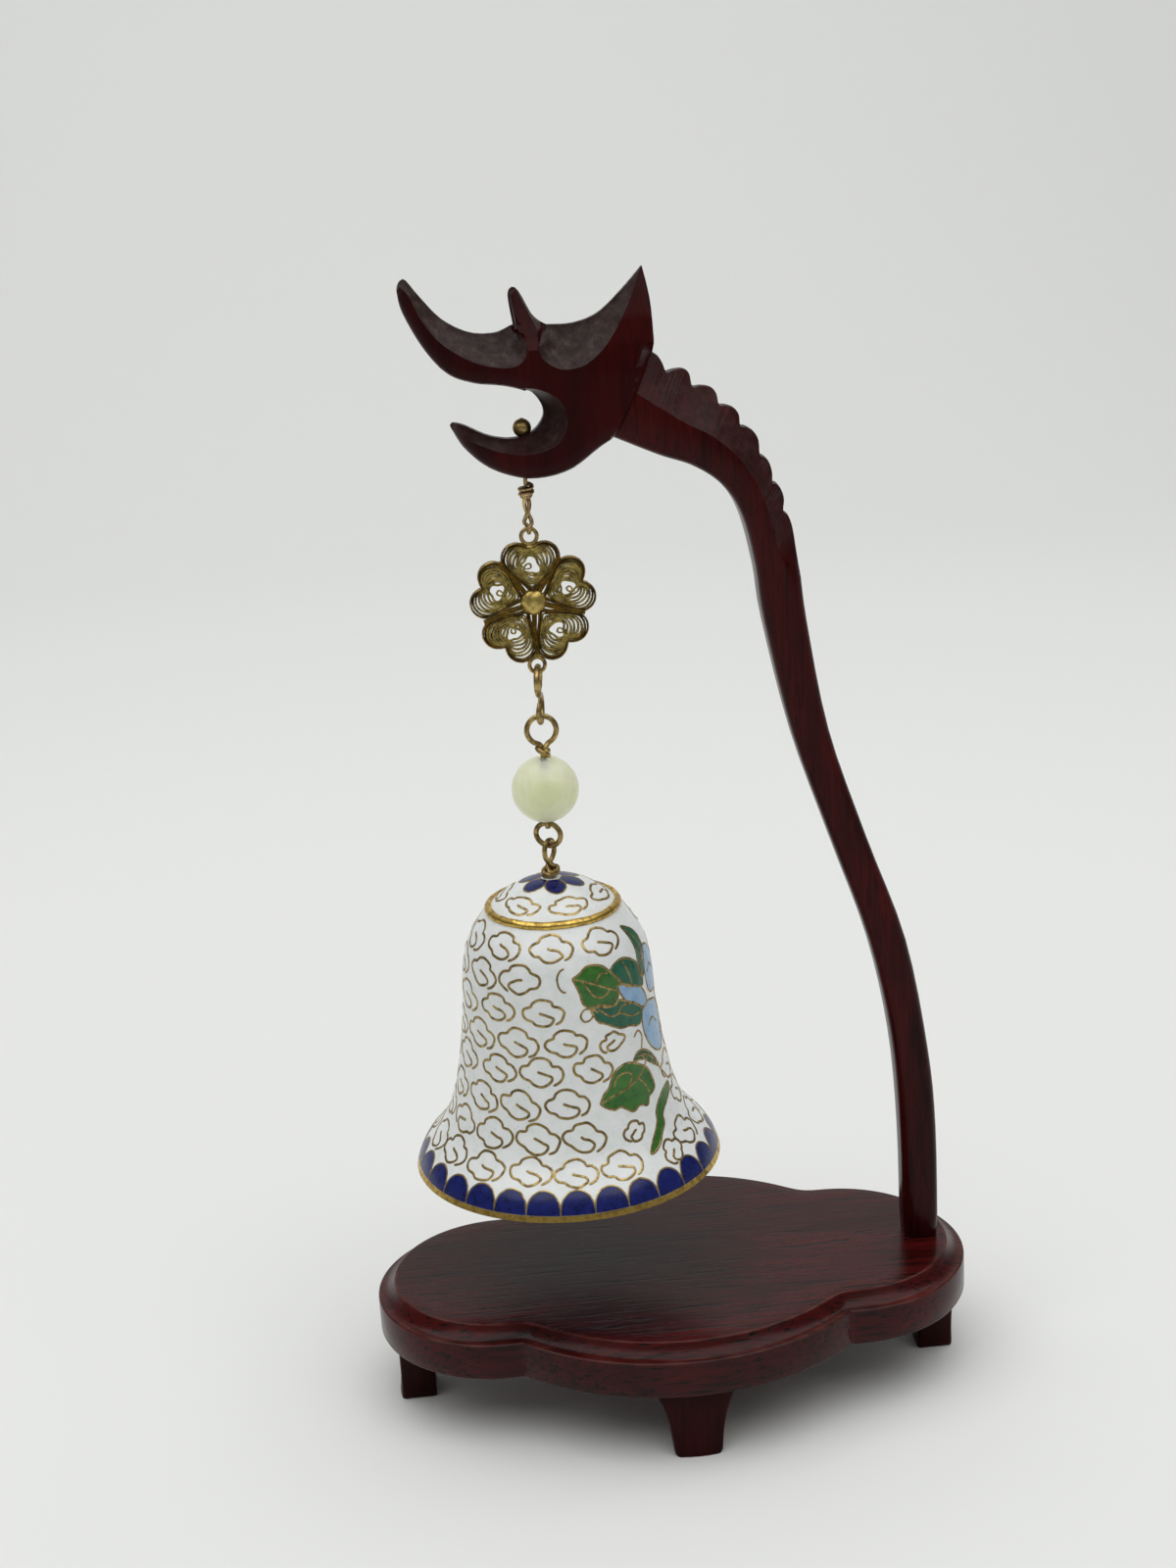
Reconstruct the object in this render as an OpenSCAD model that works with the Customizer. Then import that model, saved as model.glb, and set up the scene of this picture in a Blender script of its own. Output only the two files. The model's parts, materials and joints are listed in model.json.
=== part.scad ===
// Enamelled bell that hangs on a wire chain from a carved dragon stand.
// Millimetres. Origin at the bottom centre of the base, +X towards the post, +Z up.

/* [Base] */
// Length of the base plate along X
base_length = 103; // [98:1:112]
// Width of the base plate along Y
base_width = 65; // [62:1:70]
// Distance along X from the centre to each inward cusp of the outline
cusp_x = 27.6; // [26:0.2:29]
// Distance along Y from the centre to each inward cusp of the outline
cusp_y = 21.3; // [20:0.1:22]
// Height of the upright wall of the plate
wall_height = 6.4; // [5.4:0.1:6.8]
// Height of the stepped moulding above the wall
moulding_rise = 2.4; // [1.8:0.1:2.4]
// How far the flat top is set in from the wall
moulding_inset = 3.3; // [2.5:0.1:3.6]

/* [Feet] */
// Height of the feet
foot_height = 12.7; // [9:0.1:12.7]
// Width of a foot where it meets the plate
foot_top_width = 14; // [12:0.5:16]
// Width of a foot at the floor
foot_toe_width = 8; // [6:0.5:10]
// Thickness of a foot
foot_thickness = 6; // [5:0.5:7]
// Distance from the plate's edge in to a foot's outer face
foot_setback = 2.7; // [2:0.1:4]

/* [Neck and head] */
// Thickness of the carved head from side to side
head_thickness = 11; // [9:0.5:12]
// Thickness of the neck where it meets the head
neck_thickness = 9.6; // [8:0.2:10]
// Thickness of the post above the base
post_thickness = 6.2; // [5.4:0.2:7]
// Number of rounded teeth in the crest on the neck
crest_teeth = 8; // [6:1:10]
// Diameter of the round tenon that stands in the base
foot_tenon_d = 4; // [3:0.2:4.6]
// Diameter of the round tenon that joins the neck to the head
head_tenon_d = 5; // [4:0.2:6]

/* [Chain] */
// Distance from the middle of the base to the line that the chain hangs on
chain_offset = 16.8; // [16:0.1:17.4]
// Diameter of the wire through the jaw
hook_wire_d = 0.64; // [0.5:0.02:0.66]
// Diameter of the stop bead on top of the jaw
stop_bead_d = 3; // [2.4:0.1:3.2]
// Diameter of the wire of the flower's two rings
ring_wire_d = 0.65; // [0.5:0.05:0.7]
// Diameter of the wire of the figure-eight link
link_wire_d = 0.95; // [0.8:0.05:1]
// Diameter of the wire through the jade bead
bead_wire_d = 0.9; // [0.7:0.05:0.95]
// Diameter of the wire that holds the bell
bell_wire_d = 0.85; // [0.7:0.05:0.9]
// Diameter of the jade bead
jade_d = 11.1; // [9:0.1:11.1]
// Angle about Z between the bead wire's lower loop and the X axis
loop_turn = -35; // [-45:5:-25]

/* [Flower] */
// Distance from the flower's centre to its edge
flower_radius = 9.8; // [9.7:0.05:9.9]
// Thickness of the flower's frame from front to back
flower_depth = 1.3; // [1:0.1:1.6]
// Width of the frame wire of each petal
petal_wire = 0.55; // [0.4:0.05:0.7]
// Diameter of the domed boss in the middle
boss_d = 4; // [3.6:0.1:4.4]

/* [Bell] */
// Diameter of the bell's mouth
mouth_d = 52; // [50:0.5:53]
// Thickness of the outer enamel
enamel_t = 0.6; // [0.4:0.05:0.7]
// Thickness of the copper wall
shell_t = 1; // [0.8:0.05:1.1]
// Thickness of the enamel inside the bell
inner_enamel_t = 0.4; // [0.3:0.05:0.45]
// Diameter of the clapper's ball
clapper_d = 6.5; // [5:0.1:6.5]
// Length of the clapper from its pivot to the middle of the ball
clapper_length = 35.5; // [30:0.5:36]

/* [Hidden] */
$fn = 64;

// Gaps: glued joints inside the stand, moving surfaces, and round running fits.
glue_gap = 0.03;
run_gap = 0.05;

// Colours.
wood = "#5a1712";
brass = "#a8842f";
copper = "#a85a32";
gilt = "#c79a35";
white_enamel = "#eef1ee";
blue_enamel = "#1b2a8c";
inside_enamel = "#2b4f9e";
jade = "#c3d3ae";

// Base: heights, lobe circles and the point where two lobes meet.
plate_z = foot_height;
wall_top = foot_height + wall_height;
top_z = wall_top + moulding_rise;
half_l = base_length / 2;
half_w = base_width / 2;
end_r = (pow(half_l - cusp_x, 2) + pow(cusp_y, 2)) / (2 * (half_l - cusp_x));
side_r = (pow(half_w - cusp_y, 2) + pow(cusp_x, 2)) / (2 * (half_w - cusp_y));
end_c = half_l - end_r;
side_c = half_w - side_r;

// Neck and post: stations down the inner and the outer edge, each [x, z].
neck_inner = [[-2.8, 165.6], [4, 162.4], [9.5, 160.2], [14, 156.8], [17, 151.5], [18.9, 143],
    [20, 134], [24, 115], [30, 96], [36, 77.5], [39.4, 60], [40.7, 42], [40.9, 21.5]];
neck_outer = [[4.1, 178], [10.2, 172.3], [15.5, 168], [20, 161.8], [23.4, 152.8], [25.9, 143],
    [26.9, 134], [30.1, 115.2], [36, 96], [42.3, 77.2], [45.8, 57], [47, 42], [47.1, 21.5]];
crest_r = 2.2;
crest_sink = 1;
crest_width = 4;
crest_reach = 4.6;
post_x = 44;
foot_tenon_l = 7;
head_tenon_l = 8;
seam_mid = (neck_inner[0] + neck_outer[0]) / 2;
seam_run = neck_outer[0] - neck_inner[0];
seam_tilt = atan2(seam_run[1], seam_run[0]);

// Head outline, in stretches that each bend smoothly and meet at corners.
snout_under = [[-34.6, 190], [-34, 186.5], [-31.3, 181.2], [-28, 177.3], [-24, 175.6], [-19, 174.8],
    [-15, 173.2], [-13.3, 170], [-15, 167.2], [-18.3, 166.2], [-22, 166.8], [-26, 168.7], [-28.2, 169.2]];
jaw_under = [[-28.3, 168.5], [-26, 164.8], [-22, 161.3], [-16, 159.6], [-10, 160.7], [-5, 164.2],
    [-2.8, 165.6]];
ear_back = [[4.1, 178], [4, 186], [3.2, 191.3]];
saddle = [[3.2, 191.3], [0, 188], [-4, 184.6], [-8, 183.3], [-12, 183.3]];
horn = [[-12, 183.3], [-14, 184.8], [-16, 188.7], [-17.1, 189.3], [-17.7, 188], [-17.2, 183.7]];
snout_top = [[-17.2, 183.7], [-20, 182.6], [-24, 182.9], [-28, 185.1], [-31, 188.5], [-33, 191.6]];
head_low = 155;
head_full_z = 180;
head_top_z = 192;
ridge_half = 0.8;
jaw_seat_z = 166.1;

// Wire shapes: how far apart the turns of a wrap lie, and blobs at bends and joints.
wrap_pitch = 1.7;
bend_ratio = 1.04;
solder_ratio = 1.25;

// Chain heights: each joint is where one wire lies in the bend of the next.
chain_x = -chain_offset;
stop_z = jaw_seat_z + run_gap + stop_bead_d / 2;
hook_r = hook_wire_d / 2;
hook_wrap_z = 156.5;
hook_wrap_turns = 3;
hook_pivot_z = 150.98;
hook_bend_r = 1;
hook_leg_z = 157.3;
ring_r = 1.25;
ring_wire_r = ring_wire_d / 2;
top_ring_z = hook_pivot_z + hook_r + run_gap + ring_wire_r - ring_r;
flower_z = 139.75;
bottom_ring_z = 129.4;
link_pivot_z = bottom_ring_z - ring_r;
link_wire_r = link_wire_d / 2;
link_top_z = link_pivot_z + ring_wire_r + link_wire_r + run_gap;
bead_pivot_z = 119.82;
link_loop_r = (link_top_z - bead_pivot_z) / 4;
bead_wire_r = bead_wire_d / 2;
eye_r = 2.4;
eye_z = bead_pivot_z + link_wire_r + bead_wire_r + run_gap - eye_r;
bead_wrap_z = 114.75;
jade_z = 108.4;
low_loop_r = 1.85;
low_loop_z = 100.4;
bell_pivot_z = low_loop_z - low_loop_r;
bell_wire_r = bell_wire_d / 2;
bow_r = 1.35;
bow_z = bell_pivot_z + bead_wire_r + bell_wire_r + run_gap - bow_r;
bell_leg_z = 94.2;

// Flower: each petal is a heart of two lobe circles and a point at the centre.
petals = 5;
lobe_r = 2.52;
lobe_v = 2.21;
lobe_u = flower_radius - lobe_r;
heart_tip = 1.6;
petal_weld = 0.02;
filigree_wire = 0.24;
filigree_depth = 0.8;
filigree_sizes = [0.86, 0.68, 0.5];
boss_bulge = 1.3;

// Bell: outer profile from the mouth up to the middle of the crown, each [radius, z].
mouth_z = 43;
crown_z = 93.2;
mouth_r = mouth_d / 2;
bell_stations = [[mouth_r, mouth_z], [24.5, 46.2], [20.6, 51], [18.5, 56.6], [17, 64.5],
    [16.2, 71.5], [15.7, 78.2], [14.6, 83], [12.2, 86.8], [9.7, 89.4], [6.4, 91.6], [3.3, 92.8],
    [0.25, crown_z]];
bell_steps = 5;
rim_band_end = 2;
rim_enamel_end = 8;
body_enamel_end = 43;
dome_enamel_end = 53;
band_wire_r = 0.72;
hole_r = bell_wire_r + run_gap;

// Clapper: it hangs from a loop of the bell wire below the crown.
inner_loop_r = 1.6;
inner_loop_z = crown_z - enamel_t - shell_t - inner_enamel_t - run_gap - bell_wire_r - inner_loop_r;
clapper_pivot_z = inner_loop_z - inner_loop_r;
clapper_wire_r = 0.4;
clapper_eye_r = 1.3;
clapper_eye_z = clapper_pivot_z + bell_wire_r + clapper_wire_r + run_gap - clapper_eye_r;
clapper_z = clapper_pivot_z - clapper_length;

// Point on a Catmull-Rom segment from b to c, t from 0 to 1.
function segment_point(a, b, c, d, t) =
    0.5 * (2 * b + (c - a) * t + (2 * a - 5 * b + 4 * c - d) * t * t
        + (3 * b - a - 3 * c + d) * t * t * t);

// Smooth open curve through points p, with n steps from each point to the next.
function curve(p, n) = [
    for (i = [0 : len(p) - 2])
        for (k = [0 : n - 1])
            segment_point(p[max(i - 1, 0)], p[i], p[i + 1], p[min(i + 2, len(p) - 1)], k / n),
    p[len(p) - 1]
];

function reversed(p) = [for (i = [len(p) - 1 : -1 : 0]) p[i]];
function part_of(p, first, last) = [for (i = [first : last]) p[i]];

// The curve p moved by t to its left-hand side, seen in the direction of travel.
function moved_in(p, t) = [
    for (i = [0 : len(p) - 1])
        let (d = p[min(i + 1, len(p) - 1)] - p[max(i - 1, 0)])
            p[i] + t * [-d[1], d[0]] / norm(d)
];

// Flat end of the crown: points that an inset has pushed over the axis go back to it.
function off_axis(p) = [for (q = p) [max(q[0], hole_r / 2), q[1]]];

// Where the end lobe and the side lobe meet when both are set in by a distance.
function lobe_corner(inset) =
    let (
        gap = norm([end_c, side_c]),
        along = (pow(end_r - inset, 2) - pow(side_r - inset, 2) + gap * gap) / (2 * gap),
        out = sqrt(pow(end_r - inset, 2) - along * along),
        dir = [-end_c, side_c] / gap
    )
    [end_c, 0] + along * dir + out * [-dir[1], dir[0]] * (side_c < 0 ? -1 : 1);

// Base outline set in by a distance: two end lobes, two side lobes and the middle.
module base_outline(inset) {
    corner = lobe_corner(inset);
    for (side = [-1, 1]) {
        translate([side * end_c, 0]) circle(r = end_r - inset);
        intersection() {
            translate([0, side * side_c]) circle(r = side_r - inset);
            translate([-corner[0], side > 0 ? 0 : -half_w]) square([2 * corner[0], half_w]);
        }
    }
}

// Straight round wire from one point to another.
module rod(from, to, r) {
    run = to - from;
    translate(from)
        rotate([0, acos(run[2] / norm(run)), atan2(run[1], run[0])])
            cylinder(r = r, h = norm(run));
}

// Closed ring of round wire that stands upright, with its plane turned about Z.
module wire_ring(z, ring, wire, turn) {
    translate([chain_x, 0, z]) rotate([90, 0, turn]) rotate_extrude() translate([ring, 0]) circle(r = wire);
}

// Turns of wire wound round an upright core, stacked upwards from z and pressed together.
module wrap(z, core, wire, turns) {
    for (i = [0 : turns - 1])
        translate([chain_x, 0, z + wire * (1 + wrap_pitch * i)])
            rotate_extrude() translate([core + wire, 0]) circle(r = wire);
    translate([chain_x, 0, z + wire / 2]) cylinder(r = core + wire / 2, h = wrap_pitch * (turns - 1) * wire + wire);
}

// Small bead of solder where a straight wire meets a loop.
module solder(z, wire) {
    translate([chain_x, 0, z]) sphere(r = wire * solder_ratio);
}

// Long bend of wire: a half ring and two legs that close together at end_z.
module wire_bow(z, bend, wire, turn, end_z) {
    translate([chain_x, 0, z]) rotate([0, 0, turn]) {
        rotate([end_z > z ? -90 : 90, 0, 0])
            rotate_extrude(angle = 180) translate([bend, 0]) circle(r = wire);
        for (side = [-1, 1]) {
            translate([side * bend, 0, 0]) sphere(r = wire * bend_ratio);
            rod([side * bend, 0, 0], [side * wire / 2, 0, end_z - z], wire);
        }
    }
}

module base_plate() {
    color(wood) difference() {
        union() {
            translate([0, 0, plate_z]) linear_extrude(wall_height) base_outline(0);
            translate([0, 0, wall_top]) linear_extrude(moulding_rise / 2) base_outline(moulding_inset / 2);
            translate([0, 0, wall_top + moulding_rise / 2])
                linear_extrude(moulding_rise / 2) base_outline(moulding_inset);
        }
        translate([post_x, 0, top_z - foot_tenon_l - glue_gap])
            cylinder(r = foot_tenon_d / 2 + glue_gap, h = foot_tenon_l + 1);
    }
}

// One flared foot under the plate's edge. The angle says which side it is on.
module foot(angle, reach) {
    top = foot_top_width / 2;
    toe = foot_toe_width / 2;
    side = [[top, foot_height], [toe + 1.4, foot_height * 0.7], [toe + 0.4, foot_height * 0.35], [toe, 0]];
    outline = curve(side, 4);
    mirrored = [for (p = reversed(outline)) [-p[0], p[1]]];
    color(wood) rotate([0, 0, angle])
        translate([0, -(reach - foot_setback - foot_thickness), 0])
            rotate([90, 0, 0])
                linear_extrude(foot_thickness) polygon(concat(outline, mirrored));
}

module foot_front() { foot(0, half_w); }
module foot_right() { foot(90, half_l); }
module foot_back() { foot(180, half_w); }
module foot_left() { foot(270, half_l); }

// Upright slab with the outline p in the XZ plane.
module slab(p, thickness) {
    rotate([90, 0, 0]) translate([0, 0, -thickness / 2]) linear_extrude(thickness) polygon(p);
}

// Upright slab with the outline p in the YZ plane, long enough to cross the stand.
module cross_slab(p) {
    rotate([90, 0, 90]) translate([0, 0, -half_l]) linear_extrude(base_length) polygon(p);
}

// Symmetric outline in the YZ plane from [half thickness, z] stations.
function mirrored_outline(p) = concat(p, [for (q = reversed(p)) [-q[0], q[1]]]);

// Rounded teeth along the back of the neck, on the upper part of its outer edge.
module crest() {
    back = curve(neck_outer, 8);
    last = 8 * crest_reach;
    for (i = [0 : crest_teeth - 1])
        let (k = 5 + floor((last - 5) * i / (crest_teeth - 1)), p = moved_in(back, -crest_sink)[k])
            translate([p[0], crest_width / 2, p[1]])
                rotate([90, 0, 0]) cylinder(r = crest_r, h = crest_width);
}

module neck_post() {
    neck_half = neck_thickness / 2;
    post_half = post_thickness / 2;
    thickness = [[neck_half, 182], [neck_half, 166], [post_half + 0.9, 145], [post_half, 110],
        [post_half, top_z]];
    color(wood) union() {
        intersection() {
            slab(concat(curve(neck_inner, 6), reversed(curve(neck_outer, 6))), head_thickness);
            cross_slab(mirrored_outline(thickness));
        }
        crest();
        translate([post_x, 0, top_z - foot_tenon_l]) cylinder(r = foot_tenon_d / 2, h = foot_tenon_l + 1);
        head_tenon(head_tenon_d / 2, head_tenon_l);
    }
}

// Round tenon square to the seam between neck and head, started inside the neck.
module head_tenon(r, length) {
    translate([seam_mid[0], 0, seam_mid[1]])
        rotate([0, -seam_tilt, 0])
            translate([0, 0, -1]) cylinder(r = r, h = length + 1);
}

module dragon_head() {
    outline = concat(curve(snout_under, 5), curve(jaw_under, 5), curve(ear_back, 4),
        curve(saddle, 4), curve(horn, 4), curve(snout_top, 4));
    half = head_thickness / 2;
    taper = [[half, head_low], [half, head_full_z], [ridge_half, head_top_z]];
    color(wood) difference() {
        intersection() {
            slab(outline, head_thickness);
            cross_slab(mirrored_outline(taper));
        }
        head_tenon(head_tenon_d / 2 + glue_gap, head_tenon_l + glue_gap);
        translate([chain_x, 0, head_low]) cylinder(r = hook_r + run_gap, h = jaw_seat_z - head_low + 1);
        translate([chain_x, 0, jaw_seat_z]) cylinder(r = stop_bead_d / 2 + 0.2, h = stop_bead_d);
    }
}

module stop_bead() {
    color(brass) difference() {
        translate([chain_x, 0, stop_z]) sphere(d = stop_bead_d);
        translate([chain_x, 0, stop_z - stop_bead_d]) cylinder(r = hook_r, h = 2 * stop_bead_d);
    }
}

module hook_wire() {
    color(brass) union() {
        translate([chain_x, 0, hook_wrap_z + hook_r])
            cylinder(r = hook_r, h = stop_z + stop_bead_d / 2 - hook_wrap_z - hook_r);
        wrap(hook_wrap_z, hook_wire_d * 0.9, hook_r, hook_wrap_turns);
        wire_bow(hook_pivot_z + hook_bend_r, hook_bend_r, hook_r, 90, hook_leg_z);
    }
}

// Half the angle at a petal's point, and where the point lies when all edges are set in.
petal_angle = asin(lobe_r / norm([lobe_u - heart_tip, lobe_v])) + atan2(lobe_v, lobe_u - heart_tip);
function tip_at(inset) = heart_tip + inset / sin(petal_angle);

// Heart outline in the plane of the flower, set in all round, with its point inwards.
module heart(inset) {
    tip = tip_at(inset);
    side = sqrt(pow(lobe_u - tip, 2) + pow(lobe_v, 2) - pow(lobe_r - inset, 2));
    touch = [tip + side * cos(petal_angle), side * sin(petal_angle)];
    foot = touch + petal_weld * ([lobe_u, lobe_v] - touch);
    for (v = [-lobe_v, lobe_v]) translate([lobe_u, v]) circle(r = lobe_r - inset);
    polygon([[tip, 0], foot, [lobe_u, lobe_v], [lobe_u, -lobe_v], [foot[0], -foot[1]]]);
}

// Thin heart of scroll wire inside a petal's frame, shrunk towards the frame's point.
module scroll(size) {
    tip = tip_at(petal_wire);
    translate([tip, 0]) scale(size) translate([-tip, 0]) difference() {
        heart(petal_wire);
        heart(petal_wire + filigree_wire / size);
    }
}

// Everything in 2D inside it stands up round the flower's centre, once for each petal.
module each_petal(depth) {
    translate([chain_x, depth / 2, flower_z]) rotate([90, 0, 0])
        linear_extrude(depth)
            for (i = [0 : petals - 1]) rotate(90 + 360 * i / petals) children();
}

module flower_petals() {
    color(brass) each_petal(flower_depth) difference() {
        heart(0);
        heart(petal_wire);
    }
}

module flower_filigree() {
    color(brass) each_petal(filigree_depth)
        for (size = filigree_sizes) scroll(size);
}

module flower_boss() {
    bulge_r = (pow(boss_d / 2, 2) + pow(boss_bulge, 2)) / (2 * boss_bulge);
    color(brass) translate([chain_x, 0, flower_z]) rotate([90, 0, 0]) intersection() {
        translate([0, 0, boss_bulge - bulge_r]) sphere(r = bulge_r);
        translate([0, 0, bulge_r - boss_bulge]) sphere(r = bulge_r);
    }
}

module flower_top_ring() { color(brass) wire_ring(top_ring_z, ring_r, ring_wire_r, 0); }
module flower_bottom_ring() { color(brass) wire_ring(bottom_ring_z, ring_r, ring_wire_r, 0); }

module s_link() {
    color(brass) union() {
        wire_ring(link_top_z - link_loop_r, link_loop_r, link_wire_r, 90);
        wire_ring(bead_pivot_z + link_loop_r, link_loop_r, link_wire_r, 90);
    }
}

module bead_wire() {
    color(brass) union() {
        wire_ring(eye_z, eye_r, bead_wire_r, 0);
        wrap(bead_wrap_z - bead_wire_r, bead_wire_r, bead_wire_r * 0.9, 2);
        translate([chain_x, 0, low_loop_z + low_loop_r])
            cylinder(r = bead_wire_r, h = eye_z - eye_r - low_loop_z - low_loop_r);
        wire_ring(low_loop_z, low_loop_r, bead_wire_r, loop_turn);
        solder(eye_z - eye_r, bead_wire_r);
        solder(low_loop_z + low_loop_r - 0.1, bead_wire_r);
    }
}

module jade_bead() {
    color(jade) difference() {
        translate([chain_x, 0, jade_z]) sphere(d = jade_d);
        translate([chain_x, 0, jade_z - jade_d]) cylinder(r = bead_wire_r + run_gap, h = 2 * jade_d);
    }
}

module bell_wire() {
    wrap_r = bell_wire_r * 0.9;
    wrap_z = crown_z + 2 * run_gap;
    loop_top = inner_loop_z + inner_loop_r;
    color(brass) union() {
        wire_bow(bow_z, bow_r, bell_wire_r, loop_turn + 90, bell_leg_z);
        wrap(wrap_z, bell_wire_r, wrap_r, 2);
        translate([chain_x, 0, loop_top]) cylinder(r = bell_wire_r, h = bell_leg_z - loop_top);
        wire_ring(inner_loop_z, inner_loop_r, bell_wire_r, loop_turn + 90);
        solder(loop_top - 0.1, bell_wire_r);
    }
}

// Ring-shaped skin on the bell: the profile from one step to another, from_t to to_t deep.
module bell_skin(first, last, from_t, to_t) {
    profile = curve(bell_stations, bell_steps);
    outer = off_axis(part_of(moved_in(profile, from_t), first, last));
    inner = off_axis(part_of(moved_in(profile, to_t), first, last));
    difference() {
        translate([chain_x, 0, 0]) rotate_extrude() polygon(concat(outer, reversed(inner)));
        translate([chain_x, 0, crown_z - 5]) cylinder(r = hole_r, h = 10);
    }
}

last_step = bell_steps * (len(bell_stations) - 1);
wall_t = enamel_t + shell_t;
module bell_shell() { color(copper) bell_skin(0, last_step, enamel_t, wall_t); }
module inner_enamel() { color(inside_enamel) bell_skin(1, last_step, wall_t, wall_t + inner_enamel_t); }
module rim_band() { color(gilt) bell_skin(0, rim_band_end, 0, enamel_t); }
module rim_enamel() { color(blue_enamel) bell_skin(rim_band_end, rim_enamel_end, 0, enamel_t); }
module body_enamel() { color(white_enamel) bell_skin(rim_enamel_end, body_enamel_end, 0, enamel_t); }
module dome_enamel() { color(white_enamel) bell_skin(body_enamel_end, dome_enamel_end, 0, enamel_t); }
module crown_enamel() { color(blue_enamel) bell_skin(dome_enamel_end, last_step, 0, enamel_t); }

// Gilt wire round the shoulder, half sunk in the enamel.
module shoulder_band() {
    seat = curve(bell_stations, bell_steps)[body_enamel_end];
    color(gilt) translate([chain_x, 0, seat[1]])
        rotate_extrude() translate([seat[0], 0]) circle(r = band_wire_r);
}

module clapper_wire() {
    color(brass) union() {
        wire_ring(clapper_eye_z, clapper_eye_r, clapper_wire_r, loop_turn);
        translate([chain_x, 0, clapper_z])
            cylinder(r = clapper_wire_r, h = clapper_eye_z - clapper_eye_r - clapper_z);
        solder(clapper_eye_z - clapper_eye_r, clapper_wire_r);
    }
}

module clapper_ball() {
    color(brass) difference() {
        translate([chain_x, 0, clapper_z]) sphere(d = clapper_d);
        translate([chain_x, 0, clapper_z]) cylinder(r = clapper_wire_r, h = clapper_d);
    }
}

base_plate();
foot_front();
foot_back();
foot_left();
foot_right();
neck_post();
dragon_head();
stop_bead();
hook_wire();
flower_petals();
flower_filigree();
flower_boss();
flower_top_ring();
flower_bottom_ring();
s_link();
bead_wire();
jade_bead();
bell_wire();
bell_shell();
body_enamel();
dome_enamel();
crown_enamel();
rim_enamel();
inner_enamel();
shoulder_band();
rim_band();
clapper_wire();
clapper_ball();
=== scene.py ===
"""Enamelled bell on a wire chain, hung from the jaw of a carved dragon stand."""
import json
import math
import random
from bisect import bisect_right

import bmesh
import bpy
from mathutils import Matrix, Vector
from mathutils.geometry import delaunay_2d_cdt


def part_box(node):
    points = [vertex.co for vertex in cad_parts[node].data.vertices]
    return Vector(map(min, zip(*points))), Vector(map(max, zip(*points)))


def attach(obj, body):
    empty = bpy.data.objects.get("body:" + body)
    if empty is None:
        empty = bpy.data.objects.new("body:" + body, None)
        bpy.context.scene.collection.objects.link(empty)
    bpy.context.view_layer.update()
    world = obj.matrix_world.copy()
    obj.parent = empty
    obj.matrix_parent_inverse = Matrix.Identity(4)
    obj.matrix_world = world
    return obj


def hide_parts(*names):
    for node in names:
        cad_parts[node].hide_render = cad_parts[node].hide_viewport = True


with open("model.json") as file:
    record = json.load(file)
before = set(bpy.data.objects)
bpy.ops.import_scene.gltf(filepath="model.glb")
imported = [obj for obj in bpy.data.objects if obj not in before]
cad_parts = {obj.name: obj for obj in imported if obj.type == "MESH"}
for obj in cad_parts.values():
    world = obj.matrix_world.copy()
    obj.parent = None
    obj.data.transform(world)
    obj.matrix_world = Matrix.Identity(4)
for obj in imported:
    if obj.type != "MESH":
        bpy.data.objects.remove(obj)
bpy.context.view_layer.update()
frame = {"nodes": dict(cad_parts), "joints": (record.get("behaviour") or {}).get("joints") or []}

MM = 0.001
random.seed(7)

# Every length below is in millimetres in the frame of the CAD model:
# origin at the bottom centre of the base, +X towards the post, +Z up.


def node_box(node):
    """Lowest and highest corner of a CAD node, in millimetres."""
    low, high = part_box(node)
    return Vector(low) / MM, Vector(high) / MM


def joint_height(name):
    """Height of a joint's axis, in millimetres."""
    for joint in frame["joints"]:
        if joint["name"] == name:
            return joint["pos_m"][2] / MM
    raise KeyError(name)


# ---------------------------------------------------------------- curves


def curve(points, steps):
    """Smooth open curve through the points, with that many steps in each stretch."""
    out = []
    last = len(points) - 1
    for i in range(last):
        a, b = points[max(i - 1, 0)], points[i]
        c, d = points[i + 1], points[min(i + 2, last)]
        for k in range(steps):
            t = k / steps
            out.append(tuple(
                0.5 * (2 * q + (r - p) * t + (2 * p - 5 * q + 4 * r - s) * t * t
                       + (3 * q - p - 3 * r + s) * t ** 3)
                for p, q, r, s in zip(a, b, c, d)))
    out.append(tuple(points[last]))
    return out


def closed_curve(points, steps):
    """Smooth closed curve through the points, without a repeated last point."""
    n = len(points)
    wrapped = [points[(i - 1) % n] for i in range(n + 3)]
    return curve(wrapped, steps)[steps:steps * (n + 1)]


def lengths(points):
    """Distance along the polyline to each of its points."""
    out = [0.0]
    for a, b in zip(points, points[1:]):
        out.append(out[-1] + math.dist(a, b))
    return out


def along(points, n):
    """The polyline resampled to n + 1 points at equal distances."""
    run = lengths(points)
    out = []
    k = 0
    for i in range(n + 1):
        want = run[-1] * i / n
        while k < len(run) - 2 and run[k + 1] < want:
            k += 1
        t = (want - run[k]) / max(run[k + 1] - run[k], 1e-9)
        out.append(tuple(p + (q - p) * t for p, q in zip(points[k], points[k + 1])))
    return out


def table(rows, x):
    """Value at x between rows of (x, value), held at the ends."""
    if x <= rows[0][0]:
        return rows[0][1]
    for (x0, v0), (x1, v1) in zip(rows, rows[1:]):
        if x <= x1:
            return v0 + (v1 - v0) * (x - x0) / (x1 - x0)
    return rows[-1][1]


def clamp(t):
    """The number held between 0 and 1."""
    return min(max(t, 0.0), 1.0)


def smooth(t):
    """Soft step from 0 to 1."""
    t = clamp(t)
    return t * t * (3 - 2 * t)


def round_angles(n):
    """n even angles round a full turn, in radians."""
    return [2 * math.pi * k / n for k in range(n)]


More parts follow.
